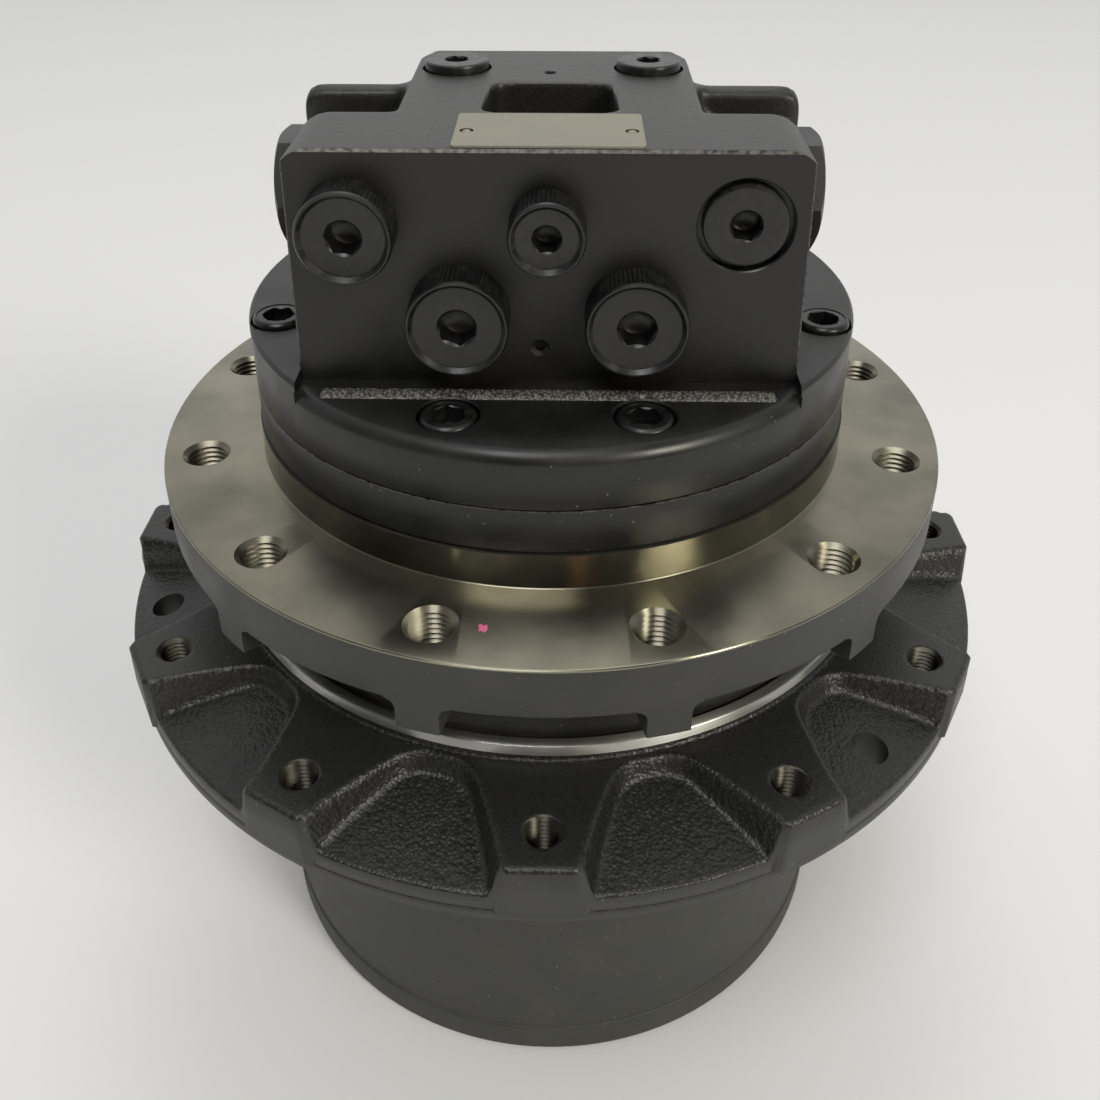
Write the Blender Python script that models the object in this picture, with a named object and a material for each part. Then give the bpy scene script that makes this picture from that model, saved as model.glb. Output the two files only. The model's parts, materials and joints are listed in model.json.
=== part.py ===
"""Excavator final drive: a travel motor inside a two-stage planetary gearbox.

Metres, +Z up. The drive stands on its gearbox cover with the motor's valve block on top,
and every gear, race and ring is centred on the Z axis.
"""
import math

import bmesh
import bpy
from mathutils import Matrix, Vector

# Round work and fits
BIG_STEPS = 36
INNER_STEPS = 24
MID_STEPS = 16
PLUG_STEPS = 12
SMALL_STEPS = 10
HOLE_STEPS = 8
GAP = 0.0003
RUN_GAP = 0.0005
SLIDE_GAP = 0.0004

# Planetary stages: the module drives the gears, the bearings and all the rings around them
MODULE = 0.004
PRESSURE_ANGLE = 20.0
ADDENDUM_SHARE = 0.85
DEDENDUM_SHARE = 1.25
BACKLASH = 0.0005
RING_TEETH = 48
SUN_TEETH = 12
PLANET_TEETH = 18
PLANET_COUNT = 3
PLANET_CIRCLE_R = MODULE * (SUN_TEETH + PLANET_TEETH) / 2
RING_TIP_R = MODULE * (RING_TEETH / 2 - ADDENDUM_SHARE)
RING_ROOT_R = MODULE * (RING_TEETH / 2 + DEDENDUM_SHARE)
RING_LOW_Z = 0.0190
RING_TOP_Z = 0.0925
GEAR_1_LOW_Z = 0.0210
GEAR_1_T = 0.0200
CARRIER_1_LOW_Z = 0.0420
CARRIER_1_T = 0.0120
CARRIER_1_PLAY = 0.0066
CARRIER_1_R = RING_TIP_R - CARRIER_1_PLAY
PIN_1_R = 0.0140
GEAR_2_LOW_Z = 0.0560
GEAR_2_T = 0.0330
PIN_2_R = 0.0120
PIN_2_TOP_Z = 0.1130
CARRIER_2_LOW_Z = 0.0905
CARRIER_2_T = 0.0142
CARRIER_2_PLAY = 0.0126
CARRIER_2_R = RING_TIP_R - CARRIER_2_PLAY
CARRIER_2_BORE_R = 0.0300
SUN_1_SHANK_R = 0.0090
SUN_1_SPIGOT_R = 0.0080
SUN_1_SPIGOT_L = 0.0120
SUN_2_INSET = 0.0004
SUN_2_WALL = 0.0066
SUN_2_SPIGOT_R = MODULE * (SUN_TEETH / 2 - DEDENDUM_SHARE) - SUN_2_INSET
SUN_2_BORE_R = SUN_2_SPIGOT_R - SUN_2_WALL

# Main ball bearings, outwards from the journal of the spindle
JOURNAL_WALL = 0.0025
JOURNAL_R = PLANET_CIRCLE_R + PIN_2_R + JOURNAL_WALL
JOURNAL_END_Z = 0.105
SHOULDER_Z = 0.1502
RACE_W = 0.018
RACE_WALL = 0.0063
RACE_OPENING = 0.0026
RACE_IN_OUT_R = JOURNAL_R + RACE_WALL
BALL_CIRCLE_R = RACE_IN_OUT_R + RACE_OPENING
RACE_OUT_IN_R = BALL_CIRCLE_R + RACE_OPENING
BEARING_BORE_R = RACE_OUT_IN_R + RACE_WALL
BEARING_SHOULDER_H = 0.0050
BEARING_SHOULDER_R = BEARING_BORE_R - BEARING_SHOULDER_H
CAGE_HALF_T = 0.0015
BALL_R = 0.0042
BALL_COUNT = 12
BALL_SIDES = 6
LOW_RACE_Z = JOURNAL_END_Z + GAP
HIGH_RACE_Z = SHOULDER_Z - RACE_W - GAP

# Floating seal rings between the bearing bore and the skirt
SEAL_SEAT_INSET = 0.0018
SEAL_SEAT_R = BEARING_BORE_R - SEAL_SEAT_INSET
SEAL_RING_PLAY = 0.0060
SEAL_RING_W = 0.0115
SEAL_RING_IN_R = SEAL_SEAT_R + SEAL_RING_PLAY
SEAL_RING_OUT_R = SEAL_RING_IN_R + SEAL_RING_W
SEAL_ROOM_PLAY = 0.0045
SEAL_ROOM_R = SEAL_RING_OUT_R + SEAL_ROOM_PLAY
SEAL_FACE_Z = 0.1672
SEAL_RING_H = 0.0085
SEAL_RING_SLOPE = 0.0040
SEAL_FLOOR_Z = SEAL_FACE_Z - SEAL_RING_H - 2 * GAP
SEAL_CEILING_Z = SEAL_FACE_Z + SEAL_RING_H + 2 * GAP
SKIRT_PLAY = 0.0020
SKIRT_WALL = 0.0060
SKIRT_IN_R = SEAL_ROOM_R + SKIRT_PLAY
SKIRT_R = SKIRT_IN_R + SKIRT_WALL
SKIRT_END_Z = 0.171

# Frame flange on the fixed spindle
FRAME_TOP_Z = 0.2265
FRAME_PLATE_T = 0.0185
FRAME_FOOT_H = 0.0108
FRAME_HOLE_COUNT = 12
FRAME_HOLE_OFFSET = 0.0095
FRAME_HOLE_CIRCLE_R = SKIRT_R + FRAME_HOLE_OFFSET
FRAME_HOLE_R = 0.0070
FRAME_HOLE_EDGE = 0.0150
FRAME_R = FRAME_HOLE_CIRCLE_R + FRAME_HOLE_EDGE
FRAME_FIRST_ANGLE = 15.0
FOOT_R = 0.0165
RIM_CHAMFER = 0.0012
PILOT_INSET = 0.0210
PILOT_R = FRAME_HOLE_CIRCLE_R - PILOT_INSET
PILOT_H = 0.013

# Heights of the motor room inside the spindle
ROOM_FLOOR_Z = 0.124
BRAKE_BORE_Z = 0.206

# Rotating housing with the sprocket flange, outwards from the skirt
LIP_PLAY = 0.0015
LIP_WALL = 0.0040
LIP_IN_R = SKIRT_R + LIP_PLAY
LIP_R = LIP_IN_R + LIP_WALL
LIP_TOP_Z = 0.1763
POCKET_OFFSET = 0.0020
POCKET_IN_R = LIP_R + POCKET_OFFSET
POCKET_IN_Z = 0.1665
SPROCKET_HOLE_OFFSET = 0.0263
SPROCKET_HOLE_CIRCLE_R = POCKET_IN_R + SPROCKET_HOLE_OFFSET
SPROCKET_HOLE_R = 0.0053
SPROCKET_EDGE = 0.0130
SPROCKET_R = SPROCKET_HOLE_CIRCLE_R + SPROCKET_EDGE
SPROCKET_LOW_Z = 0.1457
SPROCKET_RIM_Z = 0.1570
LOBE_TOP_Z = 0.1708
LOBE_COUNT = 12
LOBE_PROUD = 0.0010
LOBE_FLAT = SPROCKET_R + LOBE_PROUD
LOBE_SHOULDER = 0.0090
LOBE_IN_R = POCKET_IN_R + LOBE_SHOULDER
LOBE_OUT_HALF = 0.0117
LOBE_IN_HALF = 0.0198
LOBE_DRAFT = 0.0026
JIG_HOLE_R = 0.0062
JIG_HOLE_ANGLES = (45.0, 165.0, 285.0)
CASE_WALL = 0.0185
CASE_R = RING_ROOT_R + CASE_WALL
CASE_NECK_Z = 0.139

# Cover at the foot
COVER_PROUD = 0.0007
COVER_R = CASE_R + COVER_PROUD
COVER_T = 0.0145
COVER_CHAMFER = 0.002
COVER_SPIGOT_PLAY = 0.0010
COVER_SPIGOT_R = RING_ROOT_R - COVER_SPIGOT_PLAY
COVER_SPIGOT_H = 0.003
COVER_DISH_R = 0.070
COVER_DISH_H = 0.004
COVER_PLUG_INSET = 0.0345
COVER_PLUG_CIRCLE_R = CASE_R - COVER_PLUG_INSET
COVER_PLUG_R = 0.009
COVER_PLUG_HEX = 0.010

# Motor parts on the shaft
SHAFT_R = 0.0125
BUSH_WALL = 0.0040
SHAFT_BORE_R = SHAFT_R + BUSH_WALL
SHAFT_LOW_Z = 0.0960
SHAFT_TOP_Z = 0.2480
SHAFT_SPLINE_R = 0.0150
SHAFT_SOCKET_L = 0.0160
BUSH_L = 0.0180
TILT = 12.0
BALL_PLANE_Z = 0.1490
PISTON_COUNT = 7
PISTON_CIRCLE_R = 0.0300
PISTON_R = 0.0075
PISTON_NECK_R = 0.0035
PISTON_BALL_R = 0.0055
PISTON_NECK_L = 0.0090
PISTON_L = 0.0510
PISTON_HOLLOW_R = 0.0042
PISTON_HOLLOW_L = 0.0280
BORE_SLACK = 0.0005
SLIPPER_CUP_R = 0.0082
SLIPPER_CUP_TOP = 0.0010
SLIPPER_PLATE_LOW = 0.0095
SLIPPER_PLATE_T = 0.0040
SLIPPER_RING_IN_R = 0.0200
SLIPPER_RING_OUT_R = 0.0400
SWASH_BORE_R = 0.0190
BLOCK_WALL = 0.0085
BLOCK_R = PISTON_CIRCLE_R + PISTON_R + BLOCK_WALL
ROOM_PLAY = 0.0120
ROOM_R = BLOCK_R + ROOM_PLAY
SWASH_PLAY = 0.0060
SWASH_R = ROOM_R - SWASH_PLAY
BLOCK_LOW_Z = 0.1740
BLOCK_TOP_Z = 0.2320
BORE_TOP_Z = 0.2230
PORT_R = 0.0035
VALVE_PLATE_T = 0.0050
VALVE_PORT_HALF = 0.0030
VALVE_PORT_SWEEP = 130.0

# Rear flange and valve block
BODY_INSET = 0.0007
BODY_R = PILOT_R - BODY_INSET
MOTOR_RING_H = 0.0160
MOTOR_RING_TOP_Z = FRAME_TOP_Z + PILOT_H + MOTOR_RING_H
REAR_SPIGOT_PROUD = 0.0020
REAR_SPIGOT_R = BLOCK_R + REAR_SPIGOT_PROUD
REAR_FLANGE_T = 0.0230
FLANGE_TOP_Z = MOTOR_RING_TOP_Z + REAR_FLANGE_T
LEDGE_D = 0.0035
LEDGE_Z = FLANGE_TOP_Z - LEDGE_D
LEDGE_HALF = 0.0670
BLOCK_FRONT_Y = 0.0643
BLOCK_HALF = 0.0780
BLOCK_H = 0.0724
BLOCK_HIGH_Z = FLANGE_TOP_Z + BLOCK_H
BAR_BACK_Y = 0.0255
BAR_CORNER = 0.0050
TABLE_HALF = 0.0490
TABLE_BACK_Y = 0.0530
TABLE_END_HALF = 0.0440
VALLEY_D = 0.0124
VALLEY_Z = BLOCK_HIGH_Z - VALLEY_D
RIDGE_FRONT_Y = 0.0040
RIDGE_PROUD = 0.0050
RIDGE_HALF = BLOCK_HALF + RIDGE_PROUD
RIDGE_D = 0.0019
RIDGE_HIGH_Z = BLOCK_HIGH_Z - RIDGE_D
RIDGE_END_Y = 0.0420
RIDGE_END_D = 0.0329
RIDGE_END_Z = BLOCK_HIGH_Z - RIDGE_END_D
POCKET_HALF = 0.0220
POCKET_BACK_Y = 0.0080
POCKET_D = 0.0200
PORT_BORE_R = 0.0100
PORT_BORE_D = 0.0180
PORT_FACE_SPACING = 0.0480
PORT_H = 0.0265
PORT_Z = FLANGE_TOP_Z + PORT_H
DRAIN_R = 0.0070
DRAIN_DEPTH = 0.0209
DRAIN_Z = BLOCK_HIGH_Z - DRAIN_DEPTH

# Parking brake
DISC_T = 0.0030
DISC_W = 0.0140
DISC_OUT_R = BLOCK_R + DISC_W
PLATE_PLAY = 0.0040
PLATE_IN_R = BLOCK_R + PLATE_PLAY
DRIVE_TOOTH_H = 0.0030
DRIVE_TOOTH_COUNT = 6
BRAKE_SKIRT_PLAY = 0.0030
BRAKE_SKIRT_R = DISC_OUT_R + BRAKE_SKIRT_PLAY
BRAKE_BORE_R = BRAKE_SKIRT_R + RUN_GAP
BRAKE_HEAD_W = 0.0070
BRAKE_PISTON_R = BRAKE_SKIRT_R + BRAKE_HEAD_W
BRAKE_PISTON_PLAY = 0.0060
BRAKE_PISTON_IN_R = BLOCK_R + BRAKE_PISTON_PLAY
BRAKE_SKIRT_LOW_Z = BRAKE_BORE_Z + 2 * DISC_T + 3 * GAP
BRAKE_HEAD_T = 0.0090
BRAKE_ROOM_H = 0.0045
BRAKE_PISTON_TOP_Z = MOTOR_RING_TOP_Z - BRAKE_ROOM_H
BRAKE_HEAD_Z = BRAKE_PISTON_TOP_Z - BRAKE_HEAD_T

# Flange screws: each pair's place is its angle from the front and its inset from the flange's edge
SCREW_HEAD_R = 0.0090
SCREW_HEAD_H = 0.0120
SCREW_PROUD = 0.0020
SCREW_SHANK_R = 0.0060
SCREW_BORE_R = 0.0068
SCREW_REACH = 0.0085
SCREW_END_Z = FRAME_TOP_Z - SCREW_REACH
SCREW_HEX = 0.0100
SCREW_HEX_D = 0.0060
FRONT_SCREW_ANGLE = 19.335
FRONT_SCREW_INSET = 0.01769
SIDE_SCREW_ANGLE = 73.69
SIDE_SCREW_INSET = 0.01036
REAR_SCREW_ANGLE = 145.01
REAR_SCREW_INSET = 0.01065

# Plugs of the valve block
LARGE_PLUG_R = 0.0158
MIDDLE_PLUG_R = 0.0145
SMALL_PLUG_R = 0.0116
FLAT_PLUG_R = 0.0130
FLAT_SPOT_R = 0.0146
FLAT_SPOT_D = 0.0030
PLUG_HEAD_H = 0.0128
PLUG_DISH_W = 0.0026
PLUG_DISH_D = 0.0016
PLUG_STEM_L = 0.0100
PLUG_STEM_SHARE = 0.72
PLUG_CHAMFER = 0.0010
PLUG_HEX_D = 0.0070
PLUG_HEX_SHARE = 0.68
UPPER_PLUG_D = 0.0229
UPPER_PLUG_Z = BLOCK_HIGH_Z - UPPER_PLUG_D
LOWER_PLUG_H = 0.0208
LOWER_PLUG_Z = FLANGE_TOP_Z + LOWER_PLUG_H
UPPER_PLUG_INSET = 0.0190
UPPER_PLUG_X = BLOCK_HALF - UPPER_PLUG_INSET
LOWER_PLUG_X = 0.0272
TOP_PLUG_R = 0.0113
TOP_PLUG_INSET = 0.0150
TOP_PLUG_X = TABLE_HALF - TOP_PLUG_INSET
TOP_PLUG_Y = 0.0283
TOP_PLUG_PROUD = 0.0030
TOP_PLUG_SINK = 0.0020

# Counterbalance spool
SPOOL_Y = -0.0300
SPOOL_D = 0.0234
SPOOL_Z = BLOCK_HIGH_Z - SPOOL_D
SPOOL_BORE_R = 0.0065
SPOOL_LAND_R = 0.0061
SPOOL_WAIST_R = 0.0045
SPOOL_HALF = 0.0480
SPOOL_LAND_HALF = 0.0060
SPOOL_LAND_COUNT = 4
CAP_HEX = 0.0344
CAP_HEAD_L = 0.0067
CAP_STEM_R = 0.0110
CAP_STEM_L = 0.0160
CAP_CHAMFER = 0.0020

REAR_BOSS_H = MOTOR_RING_TOP_Z - BLOCK_TOP_Z - VALVE_PLATE_T - 2 * GAP

COLOURS = {
    "black_paint": ((0.016, 0.016, 0.015, 1.0), 0.0, 0.45),
    "machined_steel": ((0.30, 0.29, 0.24, 1.0), 1.0, 0.38),
    "cast_black": ((0.020, 0.020, 0.019, 1.0), 0.0, 0.60),
    "case_paint": ((0.055, 0.055, 0.046, 1.0), 0.0, 0.50),
    "gear_steel": ((0.36, 0.36, 0.37, 1.0), 1.0, 0.30),
    "bearing_steel": ((0.48, 0.48, 0.49, 1.0), 1.0, 0.20),
    "screw_black": ((0.012, 0.012, 0.013, 1.0), 0.4, 0.42),
    "friction_lining": ((0.14, 0.10, 0.06, 1.0), 0.0, 0.85),
    "bronze": ((0.50, 0.30, 0.13, 1.0), 1.0, 0.35),
}


def clear_scene():
    for thing in list(bpy.data.objects):
        bpy.data.objects.remove(thing, do_unlink=True)


def material(name):
    found = bpy.data.materials.get(name)
    if found:
        return found
    colour, metallic, roughness = COLOURS[name]
    made = bpy.data.materials.new(name)
    made.use_nodes = True
    shader = made.node_tree.nodes["Principled BSDF"]
    shader.inputs["Base Color"].default_value = colour
    shader.inputs["Metallic"].default_value = metallic
    shader.inputs["Roughness"].default_value = roughness
    made.diffuse_color = colour
    return made


def finish(name, mesh_data, finish_name, location=(0, 0, 0), rotation=None):
    """Turn a bmesh into a named object with its own finish."""
    bmesh.ops.recalc_face_normals(mesh_data, faces=mesh_data.faces)
    mesh = bpy.data.meshes.new(name)
    mesh_data.to_mesh(mesh)
    mesh_data.free()
    thing = bpy.data.objects.new(name, mesh)
    bpy.context.collection.objects.link(thing)
    thing.location = location
    if rotation is not None:
        thing.rotation_euler = rotation.to_euler()
    if finish_name:
        mesh.materials.append(material(finish_name))
        mesh.shade_smooth()
        mesh.set_sharp_from_angle(angle=math.radians(30))
    return thing


def polar(radius, degrees):
    """Point at an angle counted from the front, which is -Y, towards +X."""
    turn = math.radians(degrees)
    return Vector((radius * math.sin(turn), -radius * math.cos(turn), 0))


def clear(radius, steps):
    """Radius whose flats, not only its corners, stay outside a radius."""
    return radius / math.cos(math.pi / steps)


def revolve(mesh_data, profile, steps, place=Matrix()):
    """Spin a closed (radius, height) profile about Z; a radius of zero closes to one point."""
    rings = []
    for radius, height in profile:
        if radius == 0:
            rings.append([mesh_data.verts.new(place @ Vector((0, 0, height)))])
            continue
        ring = []
        for step in range(steps):
            spot = polar(radius, 360 * step / steps)
            ring.append(mesh_data.verts.new(place @ Vector((spot.x, spot.y, height))))
        rings.append(ring)
    for ring, after in zip(rings, rings[1:] + rings[:1]):
        if len(ring) == 1 and len(after) == 1:
            continue
        for step in range(steps):
            side = (step + 1) % steps
            corners = [ring[step % len(ring)], ring[side % len(ring)]]
            corners += [after[side % len(after)], after[step % len(after)]]
            mesh_data.faces.new(list(dict.fromkeys(corners)))


def turned(name, profile, finish_name, steps=MID_STEPS, location=(0, 0, 0), rotation=None):
    mesh_data = bmesh.new()
    revolve(mesh_data, profile, steps)
    return finish(name, mesh_data, finish_name, location, rotation)


def tube(name, inner, outer, low, high, finish_name, steps=MID_STEPS):
    profile = [(inner, low), (outer, low), (outer, high), (inner, high)]
    return turned(name, profile, finish_name, steps)


def prism(mesh_data, outline, low, high, place=Matrix()):
    """Straight solid between two heights over an outline of (x, y) points."""
    bottom = [mesh_data.verts.new(place @ Vector((x, y, low))) for x, y in outline]
    top = [mesh_data.verts.new(place @ Vector((x, y, high))) for x, y in outline]
    mesh_data.faces.new(bottom[::-1])
    mesh_data.faces.new(top)
    for i, corner in enumerate(bottom):
        j = (i + 1) % len(bottom)
        mesh_data.faces.new([corner, bottom[j], top[j], top[i]])


def box_outline(x_low, x_high, y_low, y_high):
    return [(x_low, y_low), (x_high, y_low), (x_high, y_high), (x_low, y_high)]


def hexagon(across_flats, first=0.0):
    radius = across_flats / math.sqrt(3)
    return [tuple(polar(radius, first + 60 * i))[:2] for i in range(6)]


def arc(centre, radius, first, last, count):
    """Points of an arc between two angles, counted from the front like polar."""
    points = []
    for i in range(count):
        spot = polar(radius, first + (last - first) * i / (count - 1))
        points.append((centre[0] + spot.x, centre[1] + spot.y))
    return points


def along(direction, start):
    """Placement that turns +Z into a direction, starting at a point."""
    turn = Vector(direction).to_track_quat("Z", "Y").to_matrix().to_4x4()
    return Matrix.Translation(start) @ turn


def cylinder(mesh_data, radius, start, direction, length, steps=SMALL_STEPS):
    profile = [(0, 0), (radius, 0), (radius, length), (0, length)]
    revolve(mesh_data, profile, steps, along(direction, start))


def boolean(target, mesh_data, operation, name):
    """Join or cut with a helper solid that stays hidden in the file."""
    helper = finish(name, mesh_data, None)
    helper.hide_render = True
    helper.hide_viewport = True
    helper.display_type = "WIRE"
    modifier = target.modifiers.new(name, "BOOLEAN")
    modifier.operation = operation
    modifier.solver = "EXACT"
    modifier.object = helper
    return modifier


# Gear geometry
def involute(angle):
    return math.tan(angle) - angle


def half_angle(radius, base_r, pitch_half):
    """Half the angle that a tooth fills at a radius, for an involute flank."""
    at = math.acos(min(1.0, base_r / max(radius, base_r)))
    return pitch_half + involute(math.radians(PRESSURE_ANGLE)) - involute(at)


def gear_rows(teeth, outer_extra, inner_extra, slack):
    """Radius and half-angle pairs of one tooth from its root to its tip."""
    pitch_r = MODULE * teeth / 2
    base_r = pitch_r * math.cos(math.radians(PRESSURE_ANGLE))
    pitch_half = math.pi / (2 * teeth) - slack / (2 * pitch_r)
    radii = [pitch_r - inner_extra, pitch_r + outer_extra]
    return [(r, math.degrees(half_angle(r, base_r, pitch_half))) for r in radii]


def tooth_points(rows, centre_angle):
    """Both flanks of one tooth as (x, y) points."""
    left = [tuple(polar(r, centre_angle - half))[:2] for r, half in rows]
    right = [tuple(polar(r, centre_angle + half))[:2] for r, half in reversed(rows)]
    return left + right


def external_rows(teeth):
    tip = MODULE * ADDENDUM_SHARE
    root = MODULE * DEDENDUM_SHARE
    return gear_rows(teeth, tip, root, BACKLASH)


def gear(name, teeth, inner, low, thickness, phase, finish_name, location=(0, 0, 0)):
    """Spur gear around an inner path of (radius, height) points from its top face to its bottom."""
    rows = external_rows(teeth)
    mesh_data = bmesh.new()
    angles = [phase + 360 * k / teeth for k in range(teeth)]
    rings = []
    for radius, height in inner:
        spots = [polar(radius, angle) for angle in angles]
        rings.append([mesh_data.verts.new((spot.x, spot.y, height)) for spot in spots])
    caps = []
    for height in (low + thickness, low):
        cap = []
        for angle in angles:
            cap.append([mesh_data.verts.new((x, y, height)) for x, y in tooth_points(rows, angle)])
        caps.append(cap)
    for cap, ring in ((caps[0], rings[0]), (caps[-1], rings[-1])):
        for k in range(teeth):
            after = (k + 1) % teeth
            mesh_data.faces.new(cap[k])
            mesh_data.faces.new([ring[k], cap[k][0], cap[k][-1]])
            mesh_data.faces.new([ring[k], cap[k][-1], cap[after][0], ring[after]])
    loops = [[vert for tooth in cap for vert in tooth] for cap in caps]
    for loop, other in [tuple(loops)] + list(zip(rings, rings[1:])):
        for i, vert in enumerate(loop):
            j = (i + 1) % len(loop)
            mesh_data.faces.new([vert, loop[j], other[j], other[i]])
    return finish(name, mesh_data, finish_name, location)


def planet_phase(theta, teeth):
    """Angle of one planet tooth so that it sits in a space of the ring gear."""
    ring_offset = (-theta * RING_TEETH / 360) % 1
    return theta + (ring_offset + 0.5) * 360 / teeth


def sun_phase(theta, planet_at, planet_teeth, sun_teeth):
    """Angle of one sun tooth so that it sits in a space of the planet at theta."""
    offset = ((planet_at - theta - 180) * planet_teeth / 360) % 1
    return theta - (offset + 0.5) * 360 / sun_teeth


# Fixed side: spindle with the frame flange
def spindle():
    plate_low = FRAME_TOP_Z - FRAME_PLATE_T
    top = FRAME_TOP_Z + PILOT_H
    middle = plate_low + FRAME_PLATE_T / 3
    profile = [
        (0, plate_low), (FRAME_R, plate_low), (FRAME_R, FRAME_TOP_Z - RIM_CHAMFER),
        (FRAME_R - RIM_CHAMFER, FRAME_TOP_Z), (PILOT_R, FRAME_TOP_Z), (PILOT_R, top), (0, top),
    ]
    body = turned("spindle", profile, "machined_steel", BIG_STEPS)
    barrel = bmesh.new()
    profile = [
        (0, JOURNAL_END_Z), (JOURNAL_R, JOURNAL_END_Z), (JOURNAL_R, SHOULDER_Z),
        (SEAL_SEAT_R, SHOULDER_Z), (SEAL_SEAT_R, SEAL_CEILING_Z), (SKIRT_IN_R, SEAL_CEILING_Z),
        (SKIRT_IN_R, SKIRT_END_Z), (SKIRT_R, SKIRT_END_Z), (SKIRT_R, middle), (0, middle),
    ]
    revolve(barrel, profile, INNER_STEPS)
    boolean(body, barrel, "UNION", "spindle_barrel")
    room = bmesh.new()
    low = JOURNAL_END_Z - BUSH_L
    high = top + PILOT_H
    profile = [
        (0, low), (SHAFT_BORE_R, low), (SHAFT_BORE_R, ROOM_FLOOR_Z), (ROOM_R, ROOM_FLOOR_Z),
        (ROOM_R, BRAKE_BORE_Z), (BRAKE_BORE_R, BRAKE_BORE_Z), (BRAKE_BORE_R, high), (0, high),
    ]
    quarter_step = Matrix.Rotation(math.pi / INNER_STEPS / 2, 4, "Z")
    revolve(room, profile, INNER_STEPS, quarter_step)
    boolean(body, room, "DIFFERENCE", "motor_room")

    feet = bmesh.new()
    foot_low = plate_low - FRAME_FOOT_H
    reach = FRAME_R - FRAME_HOLE_CIRCLE_R
    edge = math.degrees(math.asin(math.sqrt(FOOT_R**2 - reach**2) / FOOT_R))
    for i in range(FRAME_HOLE_COUNT):
        angle = FRAME_FIRST_ANGLE + 360 * i / FRAME_HOLE_COUNT
        centre = polar(FRAME_HOLE_CIRCLE_R, angle)
        outline = arc(centre, FOOT_R, angle + edge, angle + 360 - edge, 8)
        prism(feet, outline, foot_low, plate_low + FRAME_PLATE_T / 2)
    boolean(body, feet, "UNION", "spindle_feet")

    holes = bmesh.new()
    for i in range(FRAME_HOLE_COUNT):
        spot = polar(FRAME_HOLE_CIRCLE_R, FRAME_FIRST_ANGLE + 360 * i / FRAME_HOLE_COUNT)
        start = (spot.x, spot.y, foot_low - FRAME_PLATE_T)
        cylinder(holes, FRAME_HOLE_R, start, (0, 0, 1), 3 * FRAME_PLATE_T, HOLE_STEPS)
    for x, y in screw_spots():
        depth = top - SCREW_END_Z + 2 * GAP
        cylinder(holes, SCREW_BORE_R, (x, y, top - depth), (0, 0, 1), 2 * depth, HOLE_STEPS)
    for i in range(PLANET_COUNT):
        spot = polar(PLANET_CIRCLE_R, 360 * i / PLANET_COUNT)
        depth = PIN_2_TOP_Z + GAP - JOURNAL_END_Z
        start = (spot.x, spot.y, JOURNAL_END_Z - depth)
        cylinder(holes, PIN_2_R + GAP, start, (0, 0, 1), 2 * depth, HOLE_STEPS)
    boolean(body, holes, "DIFFERENCE", "spindle_holes")


def screw_spots():
    pairs = (
        (FRONT_SCREW_ANGLE, FRONT_SCREW_INSET), (SIDE_SCREW_ANGLE, SIDE_SCREW_INSET),
        (REAR_SCREW_ANGLE, REAR_SCREW_INSET),
    )
    spots = []
    for angle, inset in pairs:
        spot = polar(BODY_R - inset, angle)
        spots += [(-spot.x, spot.y), (spot.x, spot.y)]
    return spots


# Rotating side: housing, ring gear and sprocket flange in one casting
def lobe(mesh_data, angle):
    """Raised pad around one sprocket hole, drafted all round, with a flat outer face."""
    low = (SPROCKET_LOW_Z + SPROCKET_RIM_Z) / 2
    inner = (CASE_R + LIP_R) / 2
    spread = (LOBE_IN_HALF - LOBE_OUT_HALF) / (LOBE_FLAT - LOBE_IN_R)
    inner_half = LOBE_OUT_HALF + spread * (LOBE_FLAT - inner)
    turn = Matrix.Rotation(math.radians(angle), 4, "Z")
    rows = []
    for height, extra in ((low, LOBE_DRAFT), (LOBE_TOP_Z, 0)):
        corners = [
            (-inner_half - extra, -inner), (-LOBE_OUT_HALF - extra, -LOBE_FLAT),
            (LOBE_OUT_HALF + extra, -LOBE_FLAT), (inner_half + extra, -inner),
        ]
        rows.append([mesh_data.verts.new(turn @ Vector((x, y, height))) for x, y in corners])
    bottom, top = rows
    mesh_data.faces.new(bottom[::-1])
    mesh_data.faces.new(top)
    for i in range(len(bottom)):
        j = (i + 1) % len(bottom)
        mesh_data.faces.new([bottom[i], bottom[j], top[j], top[i]])


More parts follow.
